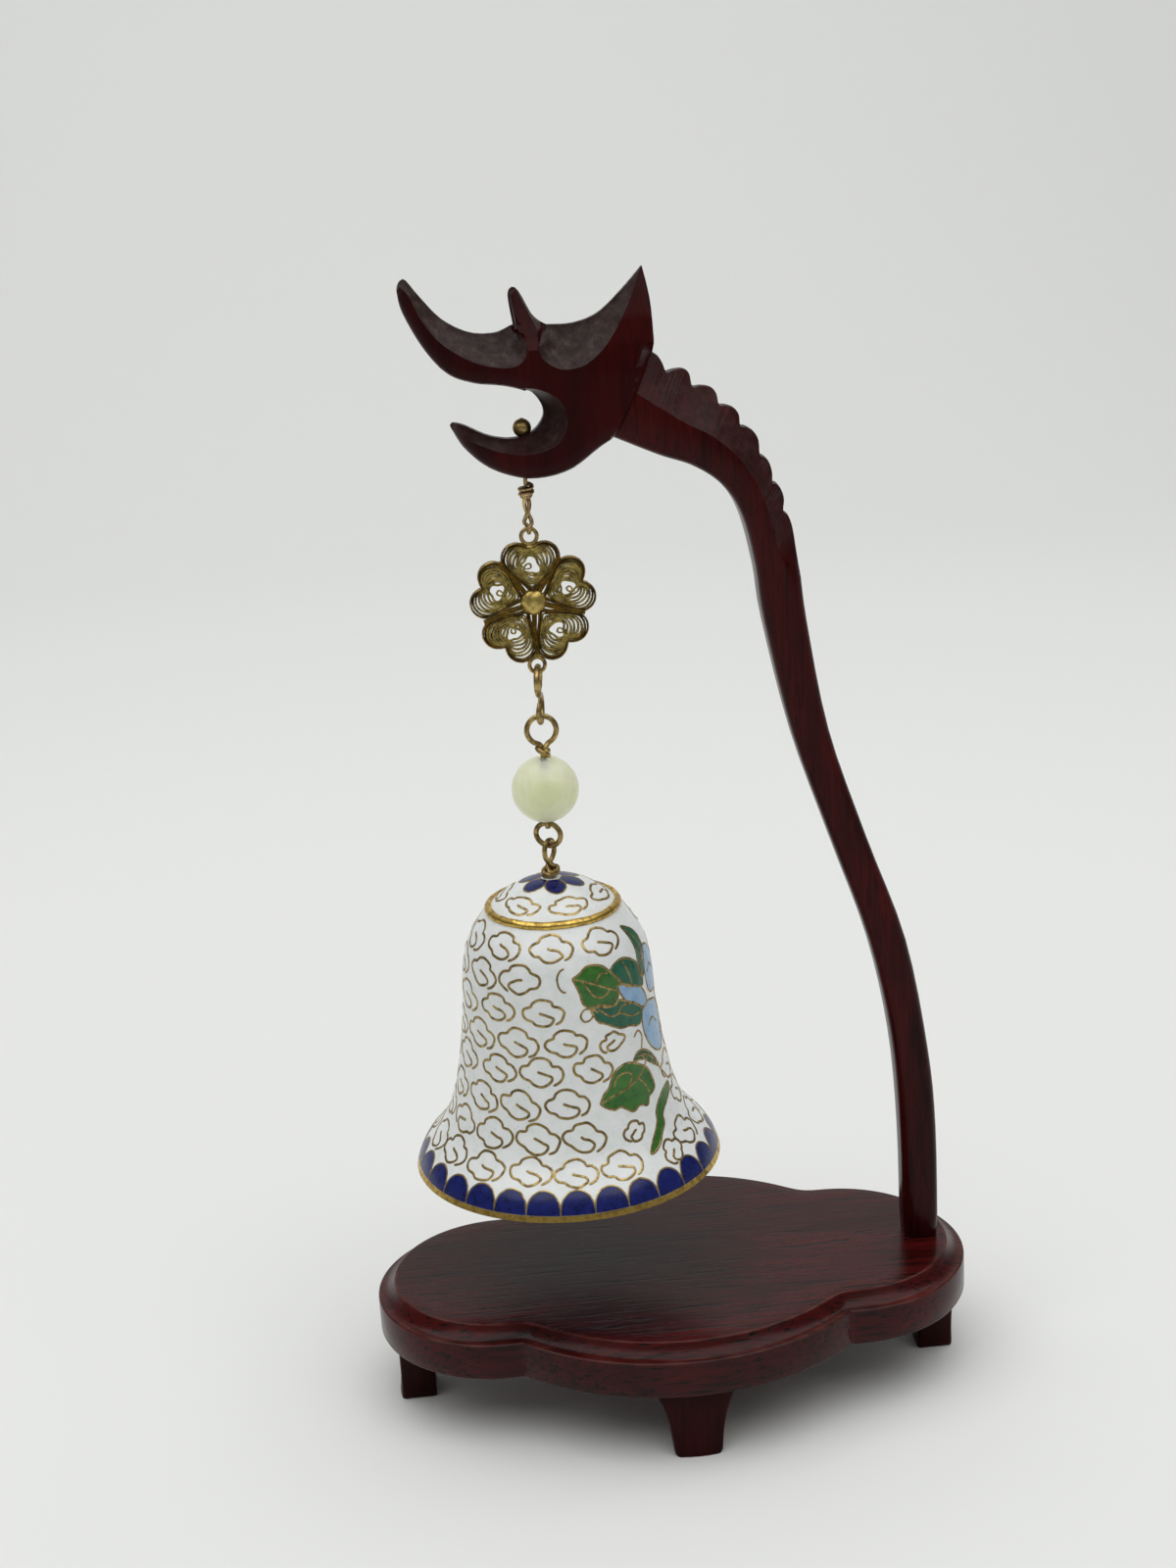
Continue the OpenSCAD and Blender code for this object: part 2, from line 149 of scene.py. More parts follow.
def distance_to(line, p):
    """Distance from p to a polyline in the plane."""
    best = 1e9
    for a, b in zip(line, line[1:]):
        dx, dz = b[0] - a[0], b[1] - a[1]
        t = clamp(((p[0] - a[0]) * dx + (p[1] - a[1]) * dz) / max(dx * dx + dz * dz, 1e-12))
        best = min(best, math.hypot(p[0] - a[0] - t * dx, p[1] - a[1] - t * dz))
    return best


def distance_to_ring(outline, p):
    """Distance from p to a closed outline in the plane."""
    return distance_to(outline + outline[:1], p)


def inside(outline, p):
    """Whether p lies inside a closed outline in the plane."""
    hit = False
    for (x0, z0), (x1, z1) in zip(outline, outline[1:] + outline[:1]):
        if (z0 > p[1]) != (z1 > p[1]) and p[0] < (x1 - x0) * (p[1] - z0) / (z1 - z0) + x0:
            hit = not hit
    return hit


def fill(outline, points, links, gap):
    """Triangles inside an outline, through all the points and with an edge along each link.

    Gives the points, the faces and the edges of the rim. Points closer than gap become one.
    """
    points, _, faces, *_ = delaunay_2d_cdt([Vector(p) for p in points], links, [], 0, gap)
    keep = []
    for face in faces:
        middle = (sum(points[i].x for i in face) / 3, sum(points[i].y for i in face) / 3)
        if inside(outline, middle):
            keep.append(tuple(face))
    edges = {(a, b) for face in keep for a, b in zip(face, face[1:] + face[:1])}
    return points, keep, sorted((a, b) for a, b in edges if (b, a) not in edges)


# ---------------------------------------------------------------- meshes


class Shape:
    """Points and faces that are collected into one mesh."""

    def __init__(self):
        self.points = []
        self.faces = []

    def add(self, points, faces):
        """More points, and faces that count from the first of them."""
        first = len(self.points)
        self.points.extend(points)
        self.faces.extend([tuple(first + i for i in face) for face in faces])

    def grid(self, rows, around=False, loop=False):
        """Skin over rows of points. around joins each row's ends, loop the first and last rows."""
        wide = len(rows[0])
        faces = []
        for i in range(len(rows) if loop else len(rows) - 1):
            j = (i + 1) % len(rows)
            for k in range(wide if around else wide - 1):
                m = (k + 1) % wide
                faces.append((i * wide + k, i * wide + m, j * wide + m, j * wide + k))
        self.add([p for row in rows for p in row], faces)

    def fan(self, ring, middle, flip=False):
        """Cap that joins a ring of points to one middle point."""
        n = len(ring)
        faces = [(i, (i + 1) % n, n) for i in range(n)]
        if flip:
            faces = [face[::-1] for face in faces]
        self.add(list(ring) + [middle], faces)

    def tube(self, path, radius, sides=8, loop=False, squash=1.0):
        """Round wire along a path. radius is one number or one for each point."""
        n = len(path)
        path = [Vector(p) for p in path]
        size = radius if isinstance(radius, (list, tuple)) else [radius] * n
        ahead = []
        for i in range(n):
            a = path[(i - 1) % n] if loop else path[max(i - 1, 0)]
            b = path[(i + 1) % n] if loop else path[min(i + 1, n - 1)]
            ahead.append((b - a).normalized())
        side = ahead[0].orthogonal().normalized()
        sides_at = []
        for i in range(n):
            side = (side - ahead[i] * side.dot(ahead[i])).normalized()
            sides_at.append(side)
        twist = 0.0
        if loop:
            end = sides_at[-1] - ahead[0] * sides_at[-1].dot(ahead[0])
            twist = end.angle(sides_at[0]) if end.length > 1e-9 else 0.0
            if end.cross(sides_at[0]).dot(ahead[0]) < 0:
                twist = -twist
        rows = []
        for i in range(n):
            u = sides_at[i]
            v = ahead[i].cross(u)
            turn = twist * i / n
            rows.append([
                path[i] + size[i] * (u * math.cos(turn + a) + v * squash * math.sin(turn + a))
                for a in round_angles(sides)])
        self.grid(rows, around=True, loop=loop)
        if not loop:
            self.fan(rows[0], path[0] - ahead[0] * size[0] * 0.35, flip=True)
            self.fan(rows[-1], path[-1] + ahead[-1] * size[-1] * 0.35)

    def ball(self, centre, radius, across=16, up=10, stretch=(1, 1, 1)):
        """Ball or ellipsoid."""
        rows = []
        for i in range(1, up):
            b = math.pi * i / up
            rows.append([
                Vector(centre) + Vector((
                    stretch[0] * radius * math.sin(b) * math.cos(a),
                    stretch[1] * radius * math.sin(b) * math.sin(a),
                    stretch[2] * radius * math.cos(b)))
                for a in round_angles(across)])
        self.grid(rows, around=True)
        top = Vector(centre) + Vector((0, 0, stretch[2] * radius))
        low = Vector(centre) - Vector((0, 0, stretch[2] * radius))
        self.fan(rows[0], top)
        self.fan(rows[-1], low, flip=True)

    def piece(self, name, material, body, slot, stands_for=(), sharp=35,
              edge_rub_and_highlight=None, hollow=None, crisp=()):
        """Makes the object, in metres, hangs it on its body's empty and hides the CAD parts it
        stands for.

        Edges sharper than this many degrees stay crisp, and so do the edges along the
        polylines of (x, z) in crisp. One value for each point lightens edges for lacquer rubbing
        and a painted highlight, and hollow has one for each face, for dust and a painted sheen.
        """
        mesh = bpy.data.meshes.new(name)
        mesh.from_pydata([Vector(p) * MM for p in self.points], [], self.faces)
        if edge_rub_and_highlight:
            mesh.attributes.new("edge_rub_and_highlight", "FLOAT", "POINT").data.foreach_set("value", edge_rub_and_highlight)
        if hollow:
            mesh.attributes.new("hollow", "FLOAT", "FACE").data.foreach_set("value", hollow)
        bm = bmesh.new()
        bm.from_mesh(mesh)
        bmesh.ops.remove_doubles(bm, verts=bm.verts, dist=2e-7)
        bmesh.ops.dissolve_degenerate(bm, edges=bm.edges, dist=1e-7)
        bmesh.ops.recalc_face_normals(bm, faces=bm.faces)
        bm.to_mesh(mesh)
        bm.free()
        mesh.shade_smooth()
        mesh.set_sharp_from_angle(angle=math.radians(sharp))
        line_at = {(round(x, 2), round(z, 2)): 1 + i
                   for i, line in enumerate(crisp) for x, z in line}
        if line_at:
            on = [line_at.get((round(v.co.x / MM, 2), round(v.co.z / MM, 2)), 0)
                  for v in mesh.vertices]
            for edge in mesh.edges:
                a, b = edge.vertices
                if on[a] and on[a] == on[b]:
                    edge.use_edge_sharp = True
        mesh.materials.append(material)
        piece = bpy.data.objects.new(name, mesh)
        bpy.context.scene.collection.objects.link(piece)
        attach(piece, body)
        if stands_for:
            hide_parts(*stands_for)
        return piece


# ---------------------------------------------------------------- materials


class Finish:
    """A material built round one Principled shader."""

    def __init__(self, name, **sockets):
        self.material = bpy.data.materials.new(name)
        self.material.use_nodes = True
        self.tree = self.material.node_tree
        self.shader = self.tree.nodes["Principled BSDF"]
        for socket, value in sockets.items():
            self.shader.inputs[socket.replace("_", " ")].default_value = value
        self.place = self.tree.nodes.new("ShaderNodeTexCoord").outputs["Object"]

    def node(self, kind, **settings):
        made = self.tree.nodes.new(kind)
        for key, value in settings.items():
            setattr(made, key, value)
        return made

    def link(self, a, b):
        self.tree.links.new(a, b)

    def scaled_place(self, scale):
        """Place on the object times one number, or times one for each axis."""
        mapping = self.node("ShaderNodeMapping")
        mapping.inputs["Scale"].default_value = (
            scale if isinstance(scale, list) else [scale] * 3)
        self.link(self.place, mapping.inputs["Vector"])
        return mapping.outputs["Vector"]

    def noise(self, scale, detail=4.0, roughness=0.5, distortion=0.0):
        """Noise with this many features per metre, or one number for each axis."""
        made = self.node("ShaderNodeTexNoise")
        made.inputs["Scale"].default_value = 1.0
        made.inputs["Detail"].default_value = detail
        made.inputs["Roughness"].default_value = roughness
        made.inputs["Distortion"].default_value = distortion
        self.link(self.scaled_place(scale), made.inputs["Vector"])
        return made.outputs["Fac"]

    def cells(self, scale):
        """Distance to scattered points, this many per metre."""
        made = self.node("ShaderNodeTexVoronoi")
        made.inputs["Scale"].default_value = 1.0
        self.link(self.scaled_place(scale), made.inputs["Vector"])
        return made.outputs["Distance"]

    def ramp(self, value, stops):
        """Colours between the stops, each a place from 0 to 1 and a colour."""
        made = self.node("ShaderNodeValToRGB")
        elements = made.color_ramp.elements
        while len(elements) < len(stops):
            elements.new(0.5)
        for element, (place, colour) in zip(elements, stops):
            element.position = place
            element.color = (*colour, 1.0)
        self.link(value, made.inputs["Fac"])
        return made.outputs["Color"]

    def mix(self, factor, a, b):
        made = self.node("ShaderNodeMix", data_type="RGBA")
        self.link(factor, made.inputs["Factor"])
        self.link(a, made.inputs["A"])
        self.link(b, made.inputs["B"])
        return made.outputs["Result"]

    def range(self, value, low, high, start=0.0, end=1.0):
        """The value from start to end turned into one from low to high."""
        made = self.node("ShaderNodeMapRange")
        for socket, number in zip(("From Min", "From Max", "To Min", "To Max"),
                                  (start, end, low, high)):
            made.inputs[socket].default_value = number
        self.link(value, made.inputs["Value"])
        return made.outputs["Result"]

    def colour(self, value):
        self.link(value, self.shader.inputs["Base Color"])

    def roughness(self, value):
        self.link(value, self.shader.inputs["Roughness"])

    def bump(self, height, strength, distance):
        """Relief of that many metres."""
        made = self.node("ShaderNodeBump")
        made.inputs["Strength"].default_value = strength
        made.inputs["Distance"].default_value = distance
        self.link(height, made.inputs["Height"])
        if self.shader.inputs["Normal"].is_linked:
            self.link(self.shader.inputs["Normal"].links[0].from_socket, made.inputs["Normal"])
        self.link(made.outputs["Normal"], self.shader.inputs["Normal"])


def lacquered_wood(name, grain, contrast, warm, spec, pores, wet):
    """Dark red-brown hardwood under a thin lacquer.

    grain is the axis that the fibres follow, contrast and warm how far the streaks stand out
    in brightness and in red, pores how dark the open pores are and wet the roughness of the
    lacquer. A point attribute lightens edges, for lacquer rubbing and a painted highlight, and
    "hollow" gives carved faces a grey-brown that is partly dust and partly a painted sheen.
    """
    fine, broad, slits = [760.0] * 3, [120.0] * 3, [1500.0] * 3
    fine[grain], broad[grain], slits[grain] = 45.0, 30.0, 110.0
    finish = Finish(name, Coat_Weight=spec / 3, Coat_Roughness=0.15, Specular_IOR_Level=spec)
    fibres = finish.noise(fine, detail=7.0, roughness=0.7, distortion=0.3)
    clouds = finish.noise(broad, detail=3.0, roughness=0.55, distortion=0.6)
    deep = (0.0130, 0.0011, 0.0010)
    light = tuple(c * (1 + contrast) for c in deep)
    glow = tuple(c * (1 + warm) for c in (0.028, 0.0018, 0.0016))
    shade = finish.ramp(fibres, ((0.34, deep), (0.64, light)))
    reds = finish.ramp(fibres, ((0.34, light), (0.66, glow)))
    body = finish.mix(finish.range(clouds, 0.0, 1.0, 0.38, 0.64), shade, reds)
    gaps = finish.noise(slits, detail=3.0, roughness=0.6)
    open_pores = finish.range(gaps, pores, 0.0, 0.36, 0.47)
    black = finish.ramp(fibres, ((0.0, (0.0025, 0.0008, 0.0007)), (1.0, (0.004, 0.001, 0.0009))))
    body = finish.mix(open_pores, body, black)
    # Lighter red along edges: partly bare wood from rubbing, partly a painted highlight.
    rub_and_highlight_red = finish.ramp(fibres, ((0.3, (0.085, 0.018, 0.014)), (0.7, (0.17, 0.05, 0.037))))
    rub_and_highlight_mask = finish.node("ShaderNodeAttribute", attribute_name="edge_rub_and_highlight").outputs["Fac"]
    hollow = finish.node("ShaderNodeAttribute", attribute_name="hollow").outputs["Fac"]
    # Grey-brown on carved faces: partly dust, partly a painted sheen where the light catches them.
    dust = finish.noise(600.0, detail=6.0, roughness=0.72)
    dust_and_sheen = finish.ramp(dust, ((0.34, (0.018, 0.010, 0.0095)), (0.54, (0.038, 0.026, 0.024)),
                               (0.74, (0.085, 0.060, 0.055))))
    finish.colour(finish.mix(hollow, finish.mix(rub_and_highlight_mask, body, rub_and_highlight_red), dust_and_sheen))
    finish.roughness(finish.ramp(hollow, [
        (place, (rough,) * 3) for place, rough in ((0.0, wet), (0.92, 0.45), (0.98, 0.62))]))
    finish.bump(open_pores, 0.3, -0.00005)
    return finish.material


def aged_brass(name, light, dark, rough=(0.30, 0.52)):
    """Brass wire that has browned unevenly."""
    finish = Finish(name, Metallic=1.0)
    patches = finish.noise(900.0, detail=5.0, roughness=0.7)
    finish.colour(finish.ramp(patches, ((0.38, dark), (0.62, light))))
    finish.roughness(finish.range(patches, rough[1], rough[0], 0.35, 0.65))
    finish.bump(finish.noise(2600.0, detail=3.0), 0.35, 0.00006)
    return finish.material


def enamel(name, light, dark, grain=350.0, pits=0.0):
    """Fired glass colour, slightly uneven, with rare fine pits of this darkness."""
    finish = Finish(name, Coat_Weight=0.12, Coat_Roughness=0.1, Specular_IOR_Level=0.36)
    clouds = finish.noise(grain, detail=5.0, roughness=0.65)
    colour = finish.ramp(clouds, ((0.34, dark), (0.64, light)))
    if pits:
        spots = finish.cells(1150.0)
        rare = finish.noise(420.0, detail=2.0)
        hole = finish.range(spots, 1.0, 0.0, 0.05, 0.13)
        where = finish.range(rare, 0.0, pits, 0.50, 0.60)
        both = finish.node("ShaderNodeMath", operation="MULTIPLY")
        finish.link(hole, both.inputs[0])
        finish.link(where, both.inputs[1])
        grey = finish.ramp(clouds, ((0.2, (0.22, 0.21, 0.20)), (0.8, (0.34, 0.33, 0.31))))
        colour = finish.mix(both.outputs["Value"], colour, grey)
    finish.colour(colour)
    finish.roughness(finish.range(clouds, 0.24, 0.36, 0.3, 0.7))
    finish.bump(finish.noise(700.0, detail=4.0, roughness=0.6), 0.18, 0.00010)
    return finish.material


def jade_stone():
    """Pale yellow-green stone that lets some light through."""
    finish = Finish("jade", Subsurface_Weight=0.95, Subsurface_Scale=0.021, Roughness=0.3,
                    Specular_IOR_Level=0.2, Coat_Weight=0.25, Coat_Roughness=0.03)
    finish.shader.inputs["Subsurface Radius"].default_value = (1.0, 1.0, 0.7)
    clouds = finish.noise(190.0, detail=4.0, roughness=0.6, distortion=0.8)
    finish.colour(finish.ramp(clouds, ((0.32, (0.615, 0.65, 0.40)), (0.66, (0.705, 0.73, 0.50)))))
    return finish.material


def copper_wall():
    """Bare copper with brown stains."""
    finish = Finish("copper", Metallic=1.0)
    stain = finish.noise(300.0, detail=5.0)
    finish.colour(finish.ramp(stain, ((0.35, (0.22, 0.075, 0.035)), (0.65, (0.46, 0.17, 0.08)))))
    finish.roughness(finish.range(stain, 0.35, 0.55))
    return finish.material


WOOD_FLAT = lacquered_wood(
    "lacquered_wood", grain=0, contrast=2.0, warm=1.4, spec=0.15, pores=0.95, wet=0.24)
WOOD_UPRIGHT = lacquered_wood(
    "lacquered_wood_upright", grain=2, contrast=1.5, warm=1.2, spec=0.09, pores=0.5, wet=0.26)
# Darker, less red copy of the wood for the feet: painted shade, where the plate above shades them.
WOOD_SHADED_FEET = lacquered_wood(
    "lacquered_wood_painted_shade", grain=2, contrast=0.5, warm=0.2, spec=0.07, pores=0.3, wet=0.3)
WOOD_CARVED = lacquered_wood(
    "lacquered_wood_carved", grain=2, contrast=0.8, warm=0.5, spec=0.07, pores=0.12, wet=0.32)
BRASS = aged_brass("aged_brass", (0.50, 0.36, 0.135), (0.15, 0.105, 0.042))
TANNED = aged_brass("tanned_brass", (0.62, 0.45, 0.22), (0.19, 0.125, 0.055))
FILIGREE = aged_brass("filigree_brass", (0.43, 0.33, 0.10), (0.15, 0.115, 0.040), (0.36, 0.6))
BRIGHT = aged_brass("bright_brass", (0.62, 0.47, 0.15), (0.30, 0.22, 0.065), (0.34, 0.52))
GILT = aged_brass("gilt_brass", (0.78, 0.53, 0.13), (0.30, 0.19, 0.05), (0.24, 0.44))
WIRE = aged_brass("cloison_wire", (0.48, 0.36, 0.15), (0.17, 0.12, 0.055), (0.34, 0.55))
WHITE = enamel("white_enamel", (0.80, 0.82, 0.81), (0.72, 0.75, 0.735), pits=0.9)
COBALT = enamel("blue_enamel", (0.0025, 0.010, 0.135), (0.001, 0.004, 0.055), 900.0, 0.3)
INSIDE = enamel("inside_enamel", (0.045, 0.115, 0.36), (0.025, 0.07, 0.24))
LEAF = enamel("green_enamel", (0.048, 0.165, 0.022), (0.018, 0.10, 0.016), 500.0, 0.3)
TEAL = enamel("dark_green_enamel", (0.010, 0.125, 0.062), (0.004, 0.075, 0.040), 500.0, 0.3)
SKY = enamel("light_blue_enamel", (0.30, 0.47, 0.66), (0.21, 0.36, 0.55), 400.0, 0.3)
JADE = jade_stone()
COPPER = copper_wall()


# ---------------------------------------------------------------- base and feet

BASE_LOW, BASE_HIGH = node_box("base_plate")
HALF_L, HALF_W, TOP_Z = BASE_HIGH
PLATE_Z = BASE_LOW.z
# The lobes at the ends and at the sides are arcs that meet in the four cusps.
CUSP = (27.6, 21.3)
END_STEPS, SIDE_STEPS = 96, 80
END_R = ((HALF_L - CUSP[0]) ** 2 + CUSP[1] ** 2) / (2 * (HALF_L - CUSP[0]))
SIDE_R = ((HALF_W - CUSP[1]) ** 2 + CUSP[0] ** 2) / (2 * (HALF_W - CUSP[1]))
END_C = HALF_L - END_R
SIDE_C = HALF_W - SIDE_R


def base_ring(inset, rounding):
    """Outline of the plate set in by a distance. rounding softens the four inward cusps."""
    r_end, r_side = END_R - inset, SIDE_R - inset
    gap = math.hypot(END_C, SIDE_C)
    near = (r_end ** 2 - r_side ** 2 + gap ** 2) / (2 * gap)
    out = math.sqrt(r_end ** 2 - near ** 2)
    ux, uy = -END_C / gap, SIDE_C / gap
    corner = (END_C + near * ux + out * uy, near * uy - out * ux)
    end_turn = math.atan2(corner[1], corner[0] - END_C)
    side_turn = math.atan2(corner[1] - SIDE_C, corner[0])
    ring = []
    for flip in (1, -1):
        for k in range(END_STEPS):
            a = -end_turn + 2 * end_turn * k / END_STEPS
            ring.append((flip * (END_C + r_end * math.cos(a)), flip * r_end * math.sin(a)))
        for k in range(SIDE_STEPS):
            a = side_turn + (math.pi - 2 * side_turn) * k / SIDE_STEPS
            ring.append((flip * r_side * math.cos(a), flip * (SIDE_C + r_side * math.sin(a))))
    n = len(ring)
    for _ in range(rounding):
        ring = [tuple(0.5 * ring[i][m] + 0.25 * (ring[i - 1][m] + ring[(i + 1) % n][m])
                      for m in (0, 1)) for i in range(n)]
    return ring


def base_plate():
    """Plate with four lobes, an upright wall and a hollow moulding up to the flat top."""
    wall = TOP_Z - 2.4
    # (inset from the outline, height, how often the cusps are softened)
    profile = (
        (5.0, PLATE_Z, 0), (0.55, PLATE_Z, 0), (0.18, PLATE_Z + 0.12, 0), (0.03, PLATE_Z + 0.45, 0),
        (0.0, PLATE_Z + 3.2, 0), (0.0, wall - 0.4, 0), (0.05, wall - 0.1, 0),
        (0.22, wall + 0.06, 0), (0.55, wall + 0.1, 1), (1.05, wall + 0.2, 2),
        (1.5, wall + 0.45, 4), (1.95, wall + 0.9, 7), (2.35, wall + 1.45, 10),
        (2.68, wall + 2.0, 13), (2.84, TOP_Z - 0.14, 15), (3.02, TOP_Z - 0.03, 16),
        (3.4, TOP_Z, 18), (5.5, TOP_Z, 26))
    rows = [[(x, y, z) for x, y in base_ring(inset, rounding)] for inset, z, rounding in profile]
    shape = Shape()
    shape.grid(rows, around=True)
    shape.fan(rows[0], (0, 0, PLATE_Z), flip=True)
    shape.fan(rows[-1], (0, 0, TOP_Z))
    # Lacquer thinned by rubbing, with a painted highlight, along the two edges of the moulding, and
    # thinned by rubbing down the four cusps.
    edge_rub_and_highlight = []
    for x, y, z in shape.points:
        cusp = math.dist((abs(x), abs(y)), CUSP)
        edge = max(1 - abs(z - wall) / 0.35, 0.0) if z < wall + 0.3 else 0.0
        lip = max(1 - abs(z - TOP_Z + 0.08) / 0.14, 0.0) * 0.8 if z < TOP_Z - 0.005 else 0.0
        corner = max(1 - cusp / 0.9, 0.0) if PLATE_Z < z < wall + 0.3 else 0.0
        waves = math.sin(0.9 * x + 2.1 * math.sin(0.23 * y)) * math.sin(0.37 * x + 0.5 * y)
        edge_rub_and_highlight.append(min(max(0.5 * edge, 0.9 * lip, 0.5 * corner) * (0.55 + 0.45 * waves), 1.0))
    shape.piece("plate", WOOD_FLAT, "stand", "lacquered_wood", ["base_plate"],
                sharp=24, edge_rub_and_highlight=edge_rub_and_highlight)


def foot(node, turn, reach):
    """Flared foot under the lobe that reaches this far, with a bowed face and eased edges."""
    height, thick, ease = PLATE_Z, 6.0, 0.55
    set_back, kick, foot_edge = 2.7, 0.75, 0.35
    side = curve([(7.0, height), (5.4, height * 0.7), (4.4, height * 0.35), (4.0, 0.0)], 5)
    rows = []
    for i, (half, z) in enumerate(side):
        half -= foot_edge if i == len(side) - 1 else 0.0
        bow = (0.2 * math.sin(math.pi * z / height) - 0.35
               + kick * max(1 - z / (0.45 * height), 0.0) ** 1.5)
        row = []
        for sx, sy, start in ((1, 1, 0), (-1, 1, 90), (-1, -1, 180), (1, -1, 270)):
            for k in range(4):
                a = math.radians(start + 30 * k)
                x = sx * (half - ease) + ease * math.cos(a)
                y = sy * (thick / 2 - ease) + ease * math.sin(a)
                if sy < 0:
                    y -= bow * (1 - (x / half) ** 2)
                row.append((x, y, max(z, 0.0)))
        for k in range(1, 4):
            x = -(half - ease) + 2 * (half - ease) * k / 4
            row.insert(12 + k - 1, (x, -thick / 2 - bow * (1 - (x / half) ** 2), max(z, 0.0)))
        rows.append(row)
    spin = Matrix.Rotation(math.radians(turn), 3, "Z")
    away = reach - set_back - thick / 2
    rows = [[spin @ Vector((x, y - away, z)) for x, y, z in row] for row in rows]
    shape = Shape()
    shape.grid(rows, around=True)
    shape.fan(rows[0], spin @ Vector((0, -away, height)))
    shape.fan(rows[-1], spin @ Vector((0, -away, 0)))
    # The feet take the darker copy of the wood, painted shade.
    shape.piece(node + "_carved", WOOD_SHADED_FEET, "stand", "lacquered_wood", [node], sharp=40)


base_plate()
for number, (side, reach) in enumerate((
        ("front", HALF_W), ("right", HALF_L), ("back", HALF_W), ("left", HALF_L))):
    foot("foot_" + side, 90 * number, reach)


# ---------------------------------------------------------------- neck and post

# Side view as (x, z), from the head down to the base.
NECK_INNER = [(-2.8, 165.6), (4, 162.4), (9.5, 160.2), (14, 156.8), (17, 151.5), (18.9, 143),
              (20, 134), (24, 115), (30, 96), (36, 77.5), (39.4, 60), (40.7, 42), (40.9, 21.5)]
NECK_OUTER = [(4.1, 178), (10.2, 172.3), (15.5, 168), (20, 161.8), (23.4, 152.8), (25.9, 143),
              (26.9, 134), (30.1, 115.2), (36, 96), (42.3, 77.2), (45.8, 57), (47, 42),
              (47.1, 21.5)]
# Crest: each tooth rises slowly to its tip, turns over it and drops to the next notch.
CREST = [(4.1, 178), (5.0, 177.3), (5.6, 176.2), (6.15, 174.85), (7.4, 175.1), (8.8, 175.1),
         (9.75, 174.3), (10.15, 172.35), (11.5, 172.3), (13.0, 171.95), (13.9, 170.9),
         (14.2, 169.25), (15.3, 169.0), (16.5, 168.5), (17.3, 167.4), (17.4, 165.75),
         (18.4, 165.4), (19.5, 164.6), (20.25, 163.2), (20.3, 161.05), (21.1, 160.5),
         (21.8, 159.6), (22.2, 158.0), (22.15, 156.4), (22.9, 156.1), (23.6, 155.1), (24.0, 153.6),
         (23.75, 151.8), (24.5, 151.0), (25.1, 149.4), (25.5, 147), (25.9, 143)]
# How far across the neck the crisp edge of the crest's bevel lies, by height.
CREST_EDGE = [(143, 0.60), (146.3, 0.555), (151.2, 0.60), (157.6, 0.60), (162.5, 0.585),
              (166.7, 0.57), (170.6, 0.56), (173, 0.55), (180, 0.55)]
# Half thickness of the neck by height, the height where the crest ends, the rounding of the
# outer edge below it, and half the thickness of the crest's ridge.
HALF_THICK = [(21.5, 3.1), (110, 3.1), (145, 4.0), (158, 4.55), (166, 4.8), (180, 4.8)]
CREST_FOOT = 143
OUTER_ROUND = 1.9
RIDGE_HALF = 0.45
# Place of the crisp edge among the points of half a section.
EDGE_AT = 12


def neck_stations():
    """(inner point, ridge point, outer line point) from the head down to the base."""
    steps = 20
    foot_at = 5 * steps
    inner, outer = curve(NECK_INNER, steps), curve(NECK_OUTER, steps)
    out = []
    k = 0
    for p in curve(CREST, 7)[:-1]:
        best = min(range(k, min(k + 30, foot_at)), key=lambda i: math.dist(outer[i], p))
        k = max(best, k)
        out.append((inner[k], p, outer[k]))
    for i in range(foot_at, len(inner), 5):
        out.append((inner[i], outer[i], outer[i]))
    # An even spread of inner points along the crest, where the nearest points come in bunches.
    crest = [i for i, s in enumerate(out) if s[0][1] > inner[foot_at][1]]
    run = along([out[i][0] for i in crest] + [inner[foot_at]], len(crest))
    for i in crest:
        out[i] = (run[i], *out[i][1:])
    return out


def neck_section(inner, ridge, outer, height):
    """Half of the section as (distance from the inner edge, half thickness)."""
    wide = math.dist(inner, ridge)
    line = math.dist(inner, outer)
    half = table(HALF_THICK, height)
    low = min(2.1, half * 0.62)
    crest = smooth((height - 136) / 14)
    ease = 0.25 + 0.08 * half
    points = [(0, 0), (0, (half - low) * 0.6), (0.03, half - low)]
    for k in range(1, 7):
        a = math.pi / 2 * k / 6
        points.append((low * (1 - math.cos(a)), half - low + low * math.sin(a)))
    edge = line * table(CREST_EDGE, max(height, CREST_FOOT))
    round_edge = line - OUTER_ROUND
    edge = round_edge + (edge - round_edge) * crest
    for t in (0.3, 0.6, 0.85):
        points.append((low + (edge - low) * t, half + 0.12 * math.sin(math.pi * t) * crest))
    points.append((edge, half))
    # Outer side: a hollow bevel out to the thin ridge on the crest, a rounded edge below it.
    tip = line + 1.7
    for k in range(1, 9):
        t = k / 8
        w = edge + (wide - edge) * t
        drop = (w - edge) / max(tip - edge, 1e-6)
        wedge = RIDGE_HALF + (half - RIDGE_HALF) * max(1 - drop, 0.0) ** 1.12
        a = math.pi / 2 * t
        arc_w = line - OUTER_ROUND + OUTER_ROUND * math.sin(a)
        arc_y = half - OUTER_ROUND + OUTER_ROUND * math.cos(a)
        points.append((arc_w + (w - arc_w) * crest, arc_y + (wedge - arc_y) * crest))
    last_w, last_y = points[-1]
    last_w += ease * 0.12 * crest
    return points + [(last_w, last_y * (0.62 if crest > 0.5 else 0.5)), (last_w + 0.02, 0)]


